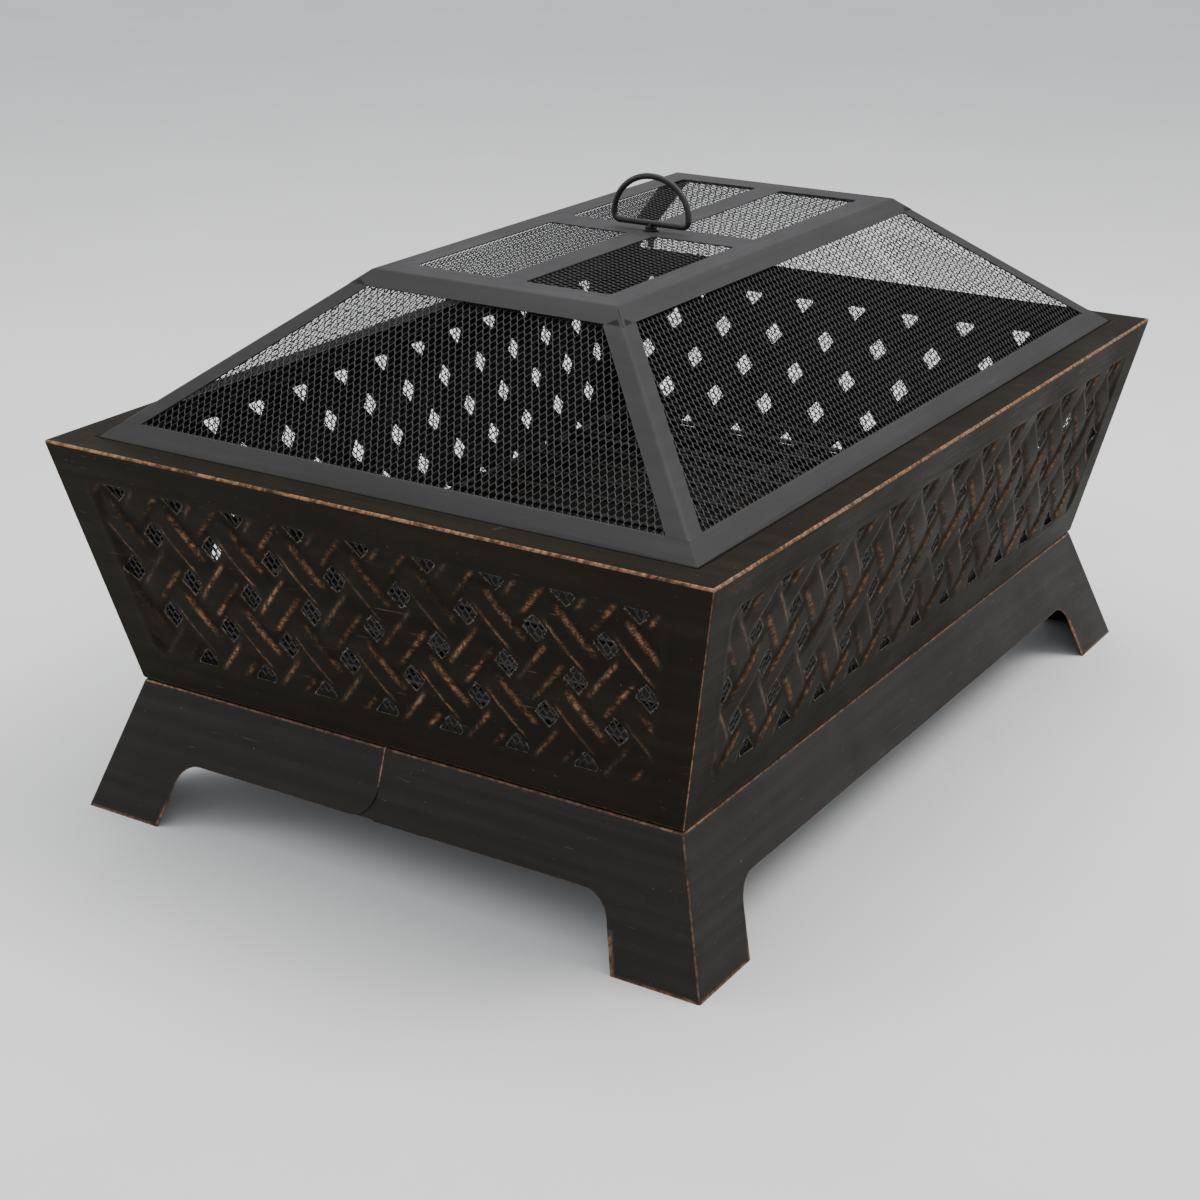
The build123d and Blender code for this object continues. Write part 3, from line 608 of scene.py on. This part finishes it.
def base_half(name, turn):
    """A U-shaped half of the base: a whole long face and both ends of its short faces."""
    far = FOOT_X + 60 * MM
    below, above = -10 * MM, 200 * MM
    overlap = -LAP_AT + 0.2 * MM
    beyond_left = np.array([(-far, below), (overlap, below), (overlap, above), (-far, above)])
    beyond_right = np.array([(-LAP_AT, below), (far, below), (far, above), (-LAP_AT, above)])
    corner = (-LAP_AT, ARCH_Z)
    curve = [
        (
            -LAP_AT - LAP_ROUND + LAP_ROUND * math.cos(math.radians(a)),
            ARCH_Z + LAP_HEIGHT - LAP_HEIGHT * math.sin(math.radians(a)),
        )
        for a in range(0, 91, 15)
    ]
    wedges = [np.array([corner, curve[k], curve[k + 1]]) for k in range(len(curve) - 1)]
    wedges = [w if polygon_sign(w) > 0 else w[::-1] for w in wedges]
    arch_x, arch_y = arch_outline(FOOT_X), arch_outline(FOOT_Y)
    parts = [
        base_face(True, turn, [arch_x], 21, 0.0),
        base_face(False, turn, [arch_y, beyond_left], 22, 0.0),
        base_face(False, not turn, [arch_y, beyond_right] + wedges, 23, 1.0),
    ]
    pts, faces, edge, painted_crease_shade = [], [], [], []
    count = 0
    for p, f, e, k in parts:
        pts.append(p)
        edge.append(e)
        painted_crease_shade.append(k)
        faces += [tuple(i + count for i in face) for face in f]
        count += len(p)
    # the tab that passes behind the other half
    tab_low, tab_high = ARCH_Z + 0.3 * MM, BOWL_Z - 4 * MM
    tab = []
    for z in (tab_low, tab_high):
        for y in (-10 * MM, LAP_AT + 30 * MM):
            x = -(FOOT_X - BASE_STEP * z / BOWL_Z) + 1.3 * MM
            tab.append((x, y, z))
    tab = np.array(tab)
    if turn:
        tab[:, :2] *= -1
    pts.append(tab)
    edge.append(np.zeros(4))
    painted_crease_shade.append(np.zeros(4))
    faces.append((count, count + 2, count + 3, count + 1))
    # edge rubbing, and the painted shade in the crease under the bowl
    wear_and_shade = {"edge_rub": np.concatenate(edge), "painted_crease_shade": np.concatenate(painted_crease_shade)}
    obj = mesh_object(name, np.concatenate(pts), faces, wear_and_shade)
    finish_sheet(obj, BASE_SHEET)
    return obj


def polygon_sign(p):
    return np.dot(p[:, 0], np.roll(p[:, 1], -1)) - np.dot(p[:, 1], np.roll(p[:, 0], -1))


def finish_sheet(obj, thickness, angle=42):
    """Joins the sheet's cells, gives it its thickness behind the face and keeps cut edges crisp."""
    weld = obj.modifiers.new("weld", "WELD")
    weld.merge_threshold = 0.03 * MM
    solid = obj.modifiers.new("sheet", "SOLIDIFY")
    solid.thickness = thickness
    solid.offset = -1
    crisp = obj.modifiers.new("cut edges", "EDGE_SPLIT")
    crisp.split_angle = math.radians(angle)


CAP_LOW, CAP_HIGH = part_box("lid_cap")
CAP_DROP = CAP_HIGH.z - CAP_LOW.z
CAP_BEND = 4.2 * MM
WINDOW_X = (18.0 * MM, 222.0 * MM)
WINDOW_Y = (13.0 * MM, 95.0 * MM)


def cap_mesh(name):
    """The pressed cap: a plate with four windows, bent down softly into an apron all round."""
    run_x = CAP_DROP * (RAIL_X - CAP_HIGH.x) / (CAP_LOW.z - RIM_Z)
    run_y = CAP_DROP * (RAIL_Y - CAP_HIGH.y) / (CAP_LOW.z - RIM_Z)
    plate_x, plate_y = CAP_HIGH.x - run_x, CAP_HIGH.y - run_y
    pts, faces = [], []
    count = 0
    edge_x, edge_y = plate_x - CAP_BEND * 0.55, plate_y - CAP_BEND * 0.55
    xs = np.linspace(-edge_x, edge_x, 121)
    ys = np.linspace(-edge_y, edge_y, 61)
    t, s = np.meshgrid(xs, ys)
    windows = []
    for sx in (-1, 1):
        for sy in (-1, 1):
            ring = []
            radius = 4.0 * MM
            mid = ((WINDOW_X[0] + WINDOW_X[1]) / 2, (WINDOW_Y[0] + WINDOW_Y[1]) / 2)
            half = ((WINDOW_X[1] - WINDOW_X[0]) / 2, (WINDOW_Y[1] - WINDOW_Y[0]) / 2)
            for quarter in range(4):
                cx = (1, -1, -1, 1)[quarter] * (half[0] - radius)
                cy = (1, 1, -1, -1)[quarter] * (half[1] - radius)
                for k in range(5):
                    a = math.radians(90 * quarter + 22.5 * k)
                    x = sx * mid[0] + cx + radius * math.cos(a)
                    ring.append((x, sy * mid[1] + cy + radius * math.sin(a)))
            windows.append(np.array(ring))
    quads, polygons = cut_cells(t, s, windows)
    add = np.concatenate(polygons)
    flat = np.concatenate([np.stack([t.ravel(), s.ravel()], axis=1), add])
    sag = -0.25 * MM * (1 - (flat[:, 0] / edge_x) ** 2) * (1 - (flat[:, 1] / edge_y) ** 2)
    pts.append(np.stack([flat[:, 0], flat[:, 1], CAP_HIGH.z + sag], axis=1))
    faces += list(quads)
    count = t.size
    for p in polygons:
        faces.append(tuple(range(count, count + len(p))))
        count += len(p)
    for along_x, turn in ((True, False), (True, True), (False, False), (False, True)):
        run = run_y if along_x else run_x
        half = plate_x if along_x else plate_y
        other = plate_y if along_x else plate_x
        cross = run_x / run_y if along_x else run_y / run_x
        slope = math.degrees(math.atan2(run, CAP_DROP))
        reach = CAP_BEND * math.tan(math.radians((90 - slope) / 2))
        bend = arc((-reach, -CAP_BEND), CAP_BEND, 90, slope, 6)
        line = [(-CAP_BEND * 0.55, 0.0)] + [b for b in bend if b[0] > -CAP_BEND * 0.55]
        start = line[-1]
        line += [
            (start[0] + (run - start[0]) * f, start[1] + (-CAP_DROP - start[1]) * f) for f in (0.15, 0.5, 1.0)
        ]
        rows = []
        u = np.linspace(-1, 1, 101)
        for k, (g, z) in enumerate(line):
            slit = 0.45 * MM if k >= len(line) - 3 else 0.0
            tt = u * (half + g * cross - slit)
            out = np.full(len(u), other + g)
            zz = np.full(len(u), CAP_HIGH.z + z)
            p = np.stack([tt, -out, zz], axis=1) if along_x else np.stack([-out, -tt, zz], axis=1)
            if turn:
                p[:, :2] *= -1
            rows.append(p)
        grid = np.array(rows)
        r_n, c_n = grid.shape[:2]
        index = np.arange(r_n * c_n).reshape(r_n, c_n) + count
        pts.append(grid.reshape(-1, 3))
        for r in range(r_n - 1):
            for c in range(c_n - 1):
                ids = (index[r + 1, c], index[r + 1, c + 1], index[r, c + 1], index[r, c])
                faces.append(tuple(int(i) for i in ids))
        count += r_n * c_n
    obj = mesh_object(name, np.concatenate(pts), faces)
    finish_sheet(obj, 1.0 * MM, 50)
    return obj


def hip_mesh(name, side_x, side_y):
    """A folded angle bar from a rail corner to under the cap, its fold eased."""
    z_low, z_high = RAIL_TOP, CAP_LOW.z + 5 * MM
    rise = CAP_LOW.z - RIM_Z
    slope_x = (RAIL_X - CAP_HIGH.x) / rise
    slope_y = (RAIL_Y - CAP_HIGH.y) / rise

    def corner(z):
        d = z - RIM_Z
        return Vector((side_x * (RAIL_X - slope_x * d), side_y * (RAIL_Y - slope_y * d), z))

    low, high = corner(z_low), corner(z_high)
    along = (high - low).normalized()
    leg_a = Vector((-side_x, 0, 0))
    leg_b = Vector((0, -side_y, 0))
    leg_a = (leg_a - along * leg_a.dot(along)).normalized()
    leg_b = (leg_b - along * leg_b.dot(along)).normalized()
    width, ease = 15.0 * MM, 2.6 * MM
    profile = [leg_a * w for w in (width, width * 0.6, ease)]
    for k in range(1, 7):
        f = k / 7
        profile.append(leg_a * ease * (1 - f) ** 2 + leg_b * ease * f**2)
    profile += [leg_b * w for w in (ease, width * 0.6, width)]
    pts, faces = [], []
    stations = 24
    for k in range(stations + 1):
        centre = low + (high - low) * k / stations
        for offset in profile:
            pts.append(tuple(centre + offset))
    n_p = len(profile)
    outward = side_x * side_y > 0
    for k in range(stations):
        for j in range(n_p - 1):
            a, b = k * n_p + j, k * n_p + j + 1
            c, d = b + n_p, a + n_p
            faces.append((d, c, b, a) if outward else (a, b, c, d))
    pts = np.array(pts)
    # the lower end is cut level, to stand on the rails
    short = np.maximum(z_low - pts[:, 2], 0) / along.z
    pts = pts + short[:, None] * np.array(along)
    obj = mesh_object(name, pts, faces)
    finish_sheet(obj, 1.2 * MM, 50)
    return obj


END_RAIL_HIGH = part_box("lid_left_rail")[1]
SCREEN_LOW, SCREEN_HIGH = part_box("lid_front_screen")
END_SCREEN_LOW, END_SCREEN_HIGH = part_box("lid_left_screen")


def lid_face(along_x, turn):
    """A lid screen's plane, from its CAD box: (place, half length at a rise, slope length)."""
    low, high = (SCREEN_LOW, SCREEN_HIGH) if along_x else (END_SCREEN_LOW, END_SCREEN_HIGH)
    out_far = -low.y if along_x else -low.x
    out_near = -high.y if along_x else -high.x
    run = out_far - out_near
    rise = high.z - low.z
    slope = math.hypot(run, rise)
    half_low = high.x if along_x else high.y
    corner_run = (RAIL_HIGH.x - CAP_HIGH.x) if along_x else (END_RAIL_HIGH.y - CAP_HIGH.y)
    narrowing = corner_run / (CAP_LOW.z - RIM_Z)

    def place(t, s, lift):
        out = out_far - s * run / slope + lift * rise / slope
        z = low.z + s * rise / slope + lift * run / slope
        p = np.stack([t, -out, z], axis=1) if along_x else np.stack([-out, -t, z], axis=1)
        if turn:
            p[:, :2] *= -1
        return p

    def half_at(s):
        return half_low - narrowing * s * rise / slope

    return place, half_at, slope


# ---------------------------------------------------------------- build the pieces
pieces = {}
for name, along_x, turn, seed in (
    ("front_side_panel", True, False, 3),
    ("back_side_panel", True, True, 5),
    ("left_side_panel", False, False, 7),
    ("right_side_panel", False, True, 9),
):
    panel = woven_panel(name.replace("_side_panel", "_woven_wall"), along_x, turn, seed=seed)
    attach(panel, "pit")
    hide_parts(name)
    pieces[name] = panel
    # expanded metal behind the holes
    half_foot = (BOWL_X if along_x else BOWL_Y) - FIELD_MARGIN + 6 * MM
    lean = FLARE / SLANT

    def in_field(x, y, half_foot=half_foot, lean=lean):
        if not FIELD_LOW - 4 * MM < y < FIELD_HIGH + 4 * MM:
            return False
        return abs(x) < half_foot + y * lean - CELL_W

    liner = expanded_sheet(
        name.replace("_side_panel", "_liner_net"),
        in_field,
        wall_to_space(along_x, turn, -RECESS - SHEET - 0.5 * MM),
        ((-half_foot - 50 * MM, half_foot + 50 * MM), (FIELD_LOW - 6 * MM, FIELD_HIGH + 6 * MM)),
        LINER_NET,
        STRAND,
        LINER_TWIST,
    )
    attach(liner, "pit")
    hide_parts(name.replace("_side_panel", "_mesh_liner"))
    pieces[name.replace("_side_panel", "_mesh_liner")] = liner

for name, along_x, turn in (
    ("lid_front_screen", True, False),
    ("lid_back_screen", True, True),
    ("lid_left_screen", False, False),
    ("lid_right_screen", False, True),
):
    place, half_at, slope = lid_face(along_x, turn)
    half_low = half_at(0)

    def in_screen(x, y, half_at=half_at, slope=slope):
        return 3 * MM < y < slope - 3 * MM and abs(x) < half_at(y) - 5 * MM

    net = expanded_sheet(
        name.replace("_screen", "_net"),
        in_screen,
        place,
        ((-half_low, half_low), (3 * MM, slope)),
        LID_NET,
        LID_STRAND,
        LID_TWIST,
    )
    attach(net, "lid")
    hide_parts(name)
    pieces[name] = net

CAPS_LOW, CAPS_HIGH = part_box("lid_cap_screen")


def cap_place(t, s, lift):
    return np.stack([t, s, np.full_like(t, (CAPS_LOW.z + CAPS_HIGH.z) / 2 - 0.3 * MM) + lift * 0.5], axis=1)


def in_cap(x, y):
    if math.hypot(x, y) < 9 * MM:
        return False
    return abs(x) < CAPS_HIGH.x - CELL_W and abs(y) < CAPS_HIGH.y - CELL_H


cap_net = expanded_sheet(
    "lid_cap_net",
    in_cap,
    cap_place,
    ((CAPS_LOW.x, CAPS_HIGH.x), (CAPS_LOW.y, CAPS_HIGH.y)),
    LID_NET,
    LID_STRAND,
    LID_TWIST,
)
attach(cap_net, "lid")
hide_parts("lid_cap_screen")
pieces["lid_cap_screen"] = cap_net


for name, turn in (("front_base_half", False), ("back_base_half", True)):
    half = base_half(name + "_sheet", turn)
    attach(half, "pit")
    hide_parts(name)
    pieces[name] = half

cap = cap_mesh("lid_cap_sheet")
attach(cap, "lid")
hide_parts("lid_cap")
pieces["lid_cap"] = cap

for side_x, name_x in ((-1, "left"), (1, "right")):
    for side_y, name_y in ((-1, "front"), (1, "back")):
        node = "lid_" + name_y + "_" + name_x + "_hip_bar"
        hip = hip_mesh(node + "_angle", side_x, side_y)
        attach(hip, "lid")
        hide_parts(node)
        pieces[node] = hip


# ---------------------------------------------------------------- materials
class Nodes:
    """A short way to write a material's node tree."""

    def __init__(self, name):
        self.mat = bpy.data.materials.new(name)
        self.mat.use_nodes = True
        self.tree = self.mat.node_tree
        self.tree.nodes.clear()

    def fill(self, socket, value):
        if isinstance(value, bpy.types.NodeSocket):
            self.tree.links.new(value, socket)
        else:
            socket.default_value = value

    def add(self, kind, values=None, **props):
        node = self.tree.nodes.new(kind)
        for key, value in props.items():
            setattr(node, key, value)
        for key, value in (values or {}).items():
            self.fill(node.inputs[key], value)
        return node

    def math(self, op, a, b=0.0, clamp=False):
        node = self.tree.nodes.new("ShaderNodeMath")
        node.operation = op
        node.use_clamp = clamp
        self.fill(node.inputs[0], a)
        self.fill(node.inputs[1], b)
        return node.outputs[0]

    def remap(self, value, a, b, c=0.0, d=1.0):
        node = self.add(
            "ShaderNodeMapRange",
            {"Value": value, "From Min": a, "From Max": b, "To Min": c, "To Max": d},
            interpolation_type="SMOOTHSTEP",
        )
        return node.outputs["Result"]

    def mix(self, factor, a, b):
        node = self.add("ShaderNodeMix", data_type="RGBA")
        for place, value in ((0, factor), (6, a), (7, b)):
            self.fill(node.inputs[place], value)
        return node.outputs[2]

    def noise(self, vector, scale, detail=4.0, rough=0.55):
        node = self.add(
            "ShaderNodeTexNoise", {"Vector": vector, "Scale": scale, "Detail": detail, "Roughness": rough}
        )
        return node.outputs["Fac"]


def rgb(r, g, b):
    return (r, g, b, 1.0)


COPPER = rgb(0.50, 0.27, 0.145)
COPPER_DEEP = rgb(0.16, 0.080, 0.042)
WORN_STEEL = rgb(0.20, 0.165, 0.130)


def brushed(n):
    """Fine marks running level round the object, whichever way a face looks."""
    geometry = n.add("ShaderNodeNewGeometry")
    coords = n.add("ShaderNodeTexCoord").outputs["Object"]
    parts = n.add("ShaderNodeSeparateXYZ", {"Vector": coords})
    lie = n.add("ShaderNodeSeparateXYZ", {"Vector": geometry.outputs["Normal"]})
    ax = n.math("ABSOLUTE", lie.outputs["X"])
    ay = n.math("ABSOLUTE", lie.outputs["Y"])
    along_x = n.math("GREATER_THAN", ay, ax)
    level = n.math(
        "ADD",
        n.math("MULTIPLY", parts.outputs["X"], along_x),
        n.math("MULTIPLY", parts.outputs["Y"], n.math("SUBTRACT", 1.0, along_x)),
    )
    other = n.math(
        "ADD",
        n.math("MULTIPLY", parts.outputs["Y"], along_x),
        n.math("MULTIPLY", parts.outputs["X"], n.math("SUBTRACT", 1.0, along_x)),
    )
    across = n.math("ADD", parts.outputs["Z"], n.math("MULTIPLY", other, 0.7))
    stretched = n.add(
        "ShaderNodeCombineXYZ",
        {"X": n.math("MULTIPLY", level, 16.0), "Y": n.math("MULTIPLY", across, 760.0), "Z": 0.0},
    ).outputs[0]
    wide = n.add(
        "ShaderNodeCombineXYZ",
        {"X": n.math("MULTIPLY", level, 3.0), "Y": n.math("MULTIPLY", across, 90.0), "Z": 3.0},
    ).outputs[0]
    return coords, n.noise(stretched, 1.0, 3.0, 0.6), n.noise(wide, 1.0, 3.0, 0.5)


def painted_sheet(
    name, base, light, edge_source, rub_amount, rough=0.46, streak=0.6, specular=0.3, scuff=0.3
):
    """Heat-proof paint over steel: brushed, a little uneven, rubbed through to copper on its edges."""
    n = Nodes(name)
    coords, fine, wide = brushed(n)
    mottled = n.noise(coords, 9.0, 6.0, 0.6)
    grain = n.noise(coords, 700.0, 2.0, 0.5)
    patch = n.noise(coords, 15.0, 5.0, 0.65)
    scratch = n.noise(coords, 240.0, 3.0, 0.6)
    colour = n.mix(n.remap(wide, 0.35, 0.70, 0.0, streak), base, light)
    colour = n.mix(n.remap(fine, 0.50, 0.74, 0.0, 0.8 * streak), colour, light)
    colour = n.mix(n.remap(mottled, 0.38, 0.66, 0.0, 0.35), colour, base)
    if edge_source == "bevel":
        bevel = n.add("ShaderNodeBevel", {"Radius": 1.3 * MM}, samples=4)
        plain = n.add("ShaderNodeNewGeometry").outputs["Normal"]
        same = n.add("ShaderNodeVectorMath", {0: bevel.outputs[0], 1: plain}, operation="DOT_PRODUCT")
        edge = n.remap(same.outputs["Value"], 0.995, 0.86)
        weave = None
    else:
        edge = n.add("ShaderNodeAttribute", attribute_name="edge_rub").outputs["Fac"]
        weave = n.add("ShaderNodeAttribute", attribute_name="weave_rub").outputs["Fac"]
        hole = n.add("ShaderNodeAttribute", attribute_name="hole_rub").outputs["Fac"]
    worn = n.math("MULTIPLY", edge, n.remap(patch, 0.30, 0.50, 0.35, 1.0))
    worn = n.math("MULTIPLY", worn, n.remap(scratch, 0.30, 0.55, 0.75, 1.0))
    worn = n.math("MULTIPLY", worn, rub_amount, clamp=True)
    if weave is not None:
        both = n.math("ADD", n.math("MULTIPLY", fine, 0.65), n.math("MULTIPLY", scratch, 0.35))
        hatch = n.remap(both, 0.36, 0.56)
        large = n.noise(coords, 5.0, 3.0, 0.5)
        crest = n.math("MULTIPLY", weave, n.remap(patch, 0.38, 0.60, 0.05, 0.44))
        # the crest copper on the short walls is 1.85 times that on the long ones
        lie = n.add("ShaderNodeSeparateXYZ", {"Vector": n.add("ShaderNodeNewGeometry").outputs["Normal"]})
        lie_x, lie_y = n.math("ABSOLUTE", lie.outputs["X"]), n.math("ABSOLUTE", lie.outputs["Y"])
        on_short = n.math("GREATER_THAN", lie_x, lie_y)
        crest = n.math("MULTIPLY", crest, n.math("ADD", n.math("MULTIPLY", on_short, 0.85), 1.0))
        crest = n.math("MULTIPLY", crest, n.remap(large, 0.38, 0.60, 0.35, 1.0))
        crest = n.math("MULTIPLY", crest, n.math("ADD", n.math("MULTIPLY", hatch, 0.75), 0.10))
        worn = n.math("MAXIMUM", worn, crest)
    # loose scratches that follow the brushing
    long_marks = n.add("ShaderNodeMapping", {"Vector": coords, "Scale": (30, 30, 420)}).outputs[0]
    scuffs = n.remap(n.noise(long_marks, 1.0, 3.0, 0.6), 0.66, 0.78, 0.0, scuff)
    dots = n.remap(n.noise(coords, 330.0, 1.0, 0.4), 0.76, 0.82, 0.0, scuff)
    copper = n.mix(n.remap(scratch, 0.35, 0.65), COPPER_DEEP, COPPER)
    colour = n.mix(scuffs, colour, WORN_STEEL)
    colour = n.mix(dots, colour, WORN_STEEL)
    colour = n.mix(worn, colour, copper)
    if weave is not None:
        rim = n.math("MULTIPLY", n.remap(hole, 0.80, 1.0), n.remap(scratch, 0.35, 0.6, 0.15, 0.62))
        colour = n.mix(rim, colour, WORN_STEEL)
        # painted shade: near-black where the base's top bend meets the bowl, standing in for the shadow in
        # that crease
        painted_crease_shade = n.add("ShaderNodeAttribute", attribute_name="painted_crease_shade").outputs["Fac"]
        colour = n.mix(n.math("MULTIPLY", painted_crease_shade, 0.93), colour, rgb(0.0015, 0.0014, 0.0012))
    uneven = n.remap(mottled, 0.3, 0.7, rough - 0.06, rough + 0.07)
    roughness = n.math("ADD", uneven, n.remap(fine, 0.3, 0.7, -0.05, 0.06))
    height = n.math("ADD", n.math("MULTIPLY", fine, 0.6), n.math("MULTIPLY", grain, 0.4))
    bump = n.add("ShaderNodeBump", {"Height": height, "Strength": 0.25, "Distance": 0.10 * MM})
    wavy = n.add(
        "ShaderNodeBump",
        {"Height": mottled, "Strength": 0.25, "Distance": 0.9 * MM, "Normal": bump.outputs[0]},
    )
    shader = n.add(
        "ShaderNodeBsdfPrincipled",
        {
            "Base Color": colour,
            "Metallic": n.math("MULTIPLY", worn, 0.6),
            "Roughness": roughness,
            "Normal": wavy.outputs[0],
        },
    )
    shader.inputs["Specular IOR Level"].default_value = specular
    n.add("ShaderNodeOutputMaterial", {"Surface": shader.outputs[0]})
    return n.mat


def plain_metal(name, base, light, rough, metallic=0.4, grain_scale=260.0):
    """Paint over wire, rod or small hardware: fine orange-peel, dusty in places."""
    n = Nodes(name)
    coords = n.add("ShaderNodeTexCoord").outputs["Object"]
    mottled = n.noise(coords, 22.0, 6.0, 0.6)
    grain = n.noise(coords, grain_scale, 3.0, 0.55)
    specks = n.noise(coords, 900.0, 2.0, 0.5)
    colour = n.mix(n.remap(mottled, 0.35, 0.7), base, light)
    colour = n.mix(n.remap(specks, 0.62, 0.78, 0.0, 0.35), colour, light)
    uneven = n.remap(mottled, 0.3, 0.7, rough - 0.07, rough + 0.08)
    roughness = n.math("ADD", uneven, n.remap(grain, 0.3, 0.7, -0.03, 0.03))
    height = n.math("ADD", grain, n.math("MULTIPLY", specks, 0.6))
    bump = n.add("ShaderNodeBump", {"Height": height, "Strength": 0.25, "Distance": 0.12 * MM})
    shader = n.add(
        "ShaderNodeBsdfPrincipled",
        {"Base Color": colour, "Roughness": roughness, "Normal": bump.outputs[0]},
    )
    shader.inputs["Metallic"].default_value = metallic
    shader.inputs["Specular IOR Level"].default_value = 0.3
    n.add("ShaderNodeOutputMaterial", {"Surface": shader.outputs[0]})
    return n.mat


BOWL_PAINT = painted_sheet(
    "bowl paint", rgb(0.0106, 0.0088, 0.0058), rgb(0.022, 0.0180, 0.0118), "own", 0.62, 0.54, 0.40, 0.045
)
BOWL_CAD = painted_sheet(
    "bowl paint plain", rgb(0.010, 0.009, 0.007), rgb(0.020, 0.017, 0.013), "bevel", 0.5, 0.5, 0.6, 0.15
)
BASE_SKIN = painted_sheet(
    "base paint", rgb(0.0185, 0.0173, 0.0155), rgb(0.032, 0.0303, 0.0272), "own", 0.9, 0.50, 0.5, 0.09
)
LID_PAINT = painted_sheet(
    "lid paint", rgb(0.026, 0.0245, 0.025), rgb(0.037, 0.0355, 0.036), "bevel", 0.10, 0.56, 0.5, 0.2, 0.1
)
NET_PAINT = plain_metal("screen paint", rgb(0.018, 0.0175, 0.0175), rgb(0.030, 0.029, 0.029), 0.55, 0.1)
LINER_PAINT = plain_metal("liner paint", rgb(0.022, 0.021, 0.021), rgb(0.040, 0.038, 0.038), 0.5, 0.2)
GRATE_PAINT = plain_metal("grate paint", rgb(0.016, 0.0155, 0.015), rgb(0.030, 0.028, 0.027), 0.5, 0.1)
RING_PAINT = plain_metal("ring paint", rgb(0.018, 0.0175, 0.017), rgb(0.032, 0.031, 0.030), 0.38, 0.1)
BOLT_PAINT = plain_metal("blackened bolts", rgb(0.030, 0.029, 0.028), rgb(0.055, 0.052, 0.050), 0.36, 0.6)


def paint(obj, mat):
    obj.data.materials.clear()
    obj.data.materials.append(mat)


by_slot = {
    "bowl_enamel": BOWL_CAD,
    "base_enamel": BASE_SKIN,
    "lid_enamel": LID_PAINT,
    "lid_mesh": NET_PAINT,
    "liner_mesh": LINER_PAINT,
    "grate_steel": GRATE_PAINT,
    "ring_enamel": RING_PAINT,
    "fastener_steel": BOLT_PAINT,
}
slot_of = {s["node"]: s["material_slot"] for s in frame["record"]["subparts"]}
for node, obj in frame["nodes"].items():
    paint(obj, by_slot[slot_of[node]])
    if node in pieces:
        continue
    weld = obj.modifiers.new("weld", "WELD")
    weld.merge_threshold = 0.01 * MM
    width = {"base_enamel": 0.9, "lid_enamel": 0.55, "bowl_enamel": 0.4}.get(slot_of[node])
    if width:
        bevel = obj.modifiers.new("eased edges", "BEVEL")
        bevel.width = width * MM
        bevel.segments = 3
        bevel.limit_method = "ANGLE"
        bevel.angle_limit = math.radians(28)
        bevel.use_clamp_overlap = True
for node, obj in pieces.items():
    if node.endswith("side_panel"):
        paint(obj, BOWL_PAINT)
        obj.data.materials.append(BOWL_CAD)
    elif node.endswith("base_half"):
        paint(obj, BASE_SKIN)
    elif node == "lid_cap" or node.endswith("hip_bar"):
        paint(obj, LID_PAINT)
    elif node.endswith("liner"):
        paint(obj, LINER_PAINT)
    else:
        paint(obj, NET_PAINT)

# ---------------------------------------------------------------- floor, light and camera
floor_mesh = bpy.data.meshes.new("floor")
floor_mesh.from_pydata([(-18, -18, 0), (18, -18, 0), (18, 18, 0), (-18, 18, 0)], [], [(0, 1, 2, 3)])
floor = bpy.data.objects.new("floor", floor_mesh)
bpy.context.scene.collection.objects.link(floor)
n = Nodes("floor")
soft = n.noise(n.add("ShaderNodeTexCoord").outputs["Object"], 3.0, 5.0, 0.6)
pale = n.mix(n.remap(soft, 0.3, 0.7), rgb(0.80, 0.80, 0.79), rgb(0.83, 0.83, 0.82))
shader = n.add("ShaderNodeBsdfPrincipled", {"Base Color": pale, "Roughness": 0.75})
n.add("ShaderNodeOutputMaterial", {"Surface": shader.outputs[0]})
paint(floor, n.mat)

world = bpy.data.worlds.new("studio")
bpy.context.scene.world = world
world.use_nodes = True
background = world.node_tree.nodes["Background"]
background.inputs["Color"].default_value = rgb(0.93, 0.95, 1.0)
background.inputs["Strength"].default_value = 0.85


def softbox(name, where, towards, size, power, tint=(1, 1, 1)):
    data = bpy.data.lights.new(name, "AREA")
    data.shape = "RECTANGLE"
    data.size, data.size_y = size
    data.energy = power
    data.color = tint
    lamp = bpy.data.objects.new(name, data)
    lamp.location = where
    lamp.rotation_euler = (Vector(towards) - Vector(where)).to_track_quat("-Z", "Y").to_euler()
    bpy.context.scene.collection.objects.link(lamp)
    return lamp


softbox("overhead", (0.3, 0.1, 2.8), (0, 0, 0.2), (2.6, 2.0), 60)
softbox("right front", (0.9, -1.8, 3.0), (0.1, 0, 0.25), (1.6, 1.4), 62, (1.0, 0.985, 0.96))
softbox("left back", (-1.6, 2.6, 1.5), (-0.2, 0, 0.3), (1.4, 1.2), 22)

AZIMUTH = math.radians(211.9)
ELEVATION = math.radians(21.55)
DISTANCE = 2.073
LOOK_AT = Vector((-0.067, 0.010, 0.135))
ROLL = math.radians(0.27)
cam_data = bpy.data.cameras.new("camera")
cam_data.sensor_width = 36.0
cam_data.lens = 67.27
cam = bpy.data.objects.new("camera", cam_data)
towards = Vector(
    (
        math.cos(ELEVATION) * math.cos(AZIMUTH),
        math.cos(ELEVATION) * math.sin(AZIMUTH),
        math.sin(ELEVATION),
    )
)
cam.location = LOOK_AT + DISTANCE * towards
turn_cam = (-towards).to_track_quat("-Z", "Y")
cam.rotation_euler = turn_cam.to_euler()
cam.rotation_euler.rotate_axis("Z", ROLL)
bpy.context.scene.collection.objects.link(cam)
bpy.context.scene.camera = cam

bpy.context.view_layer.update()
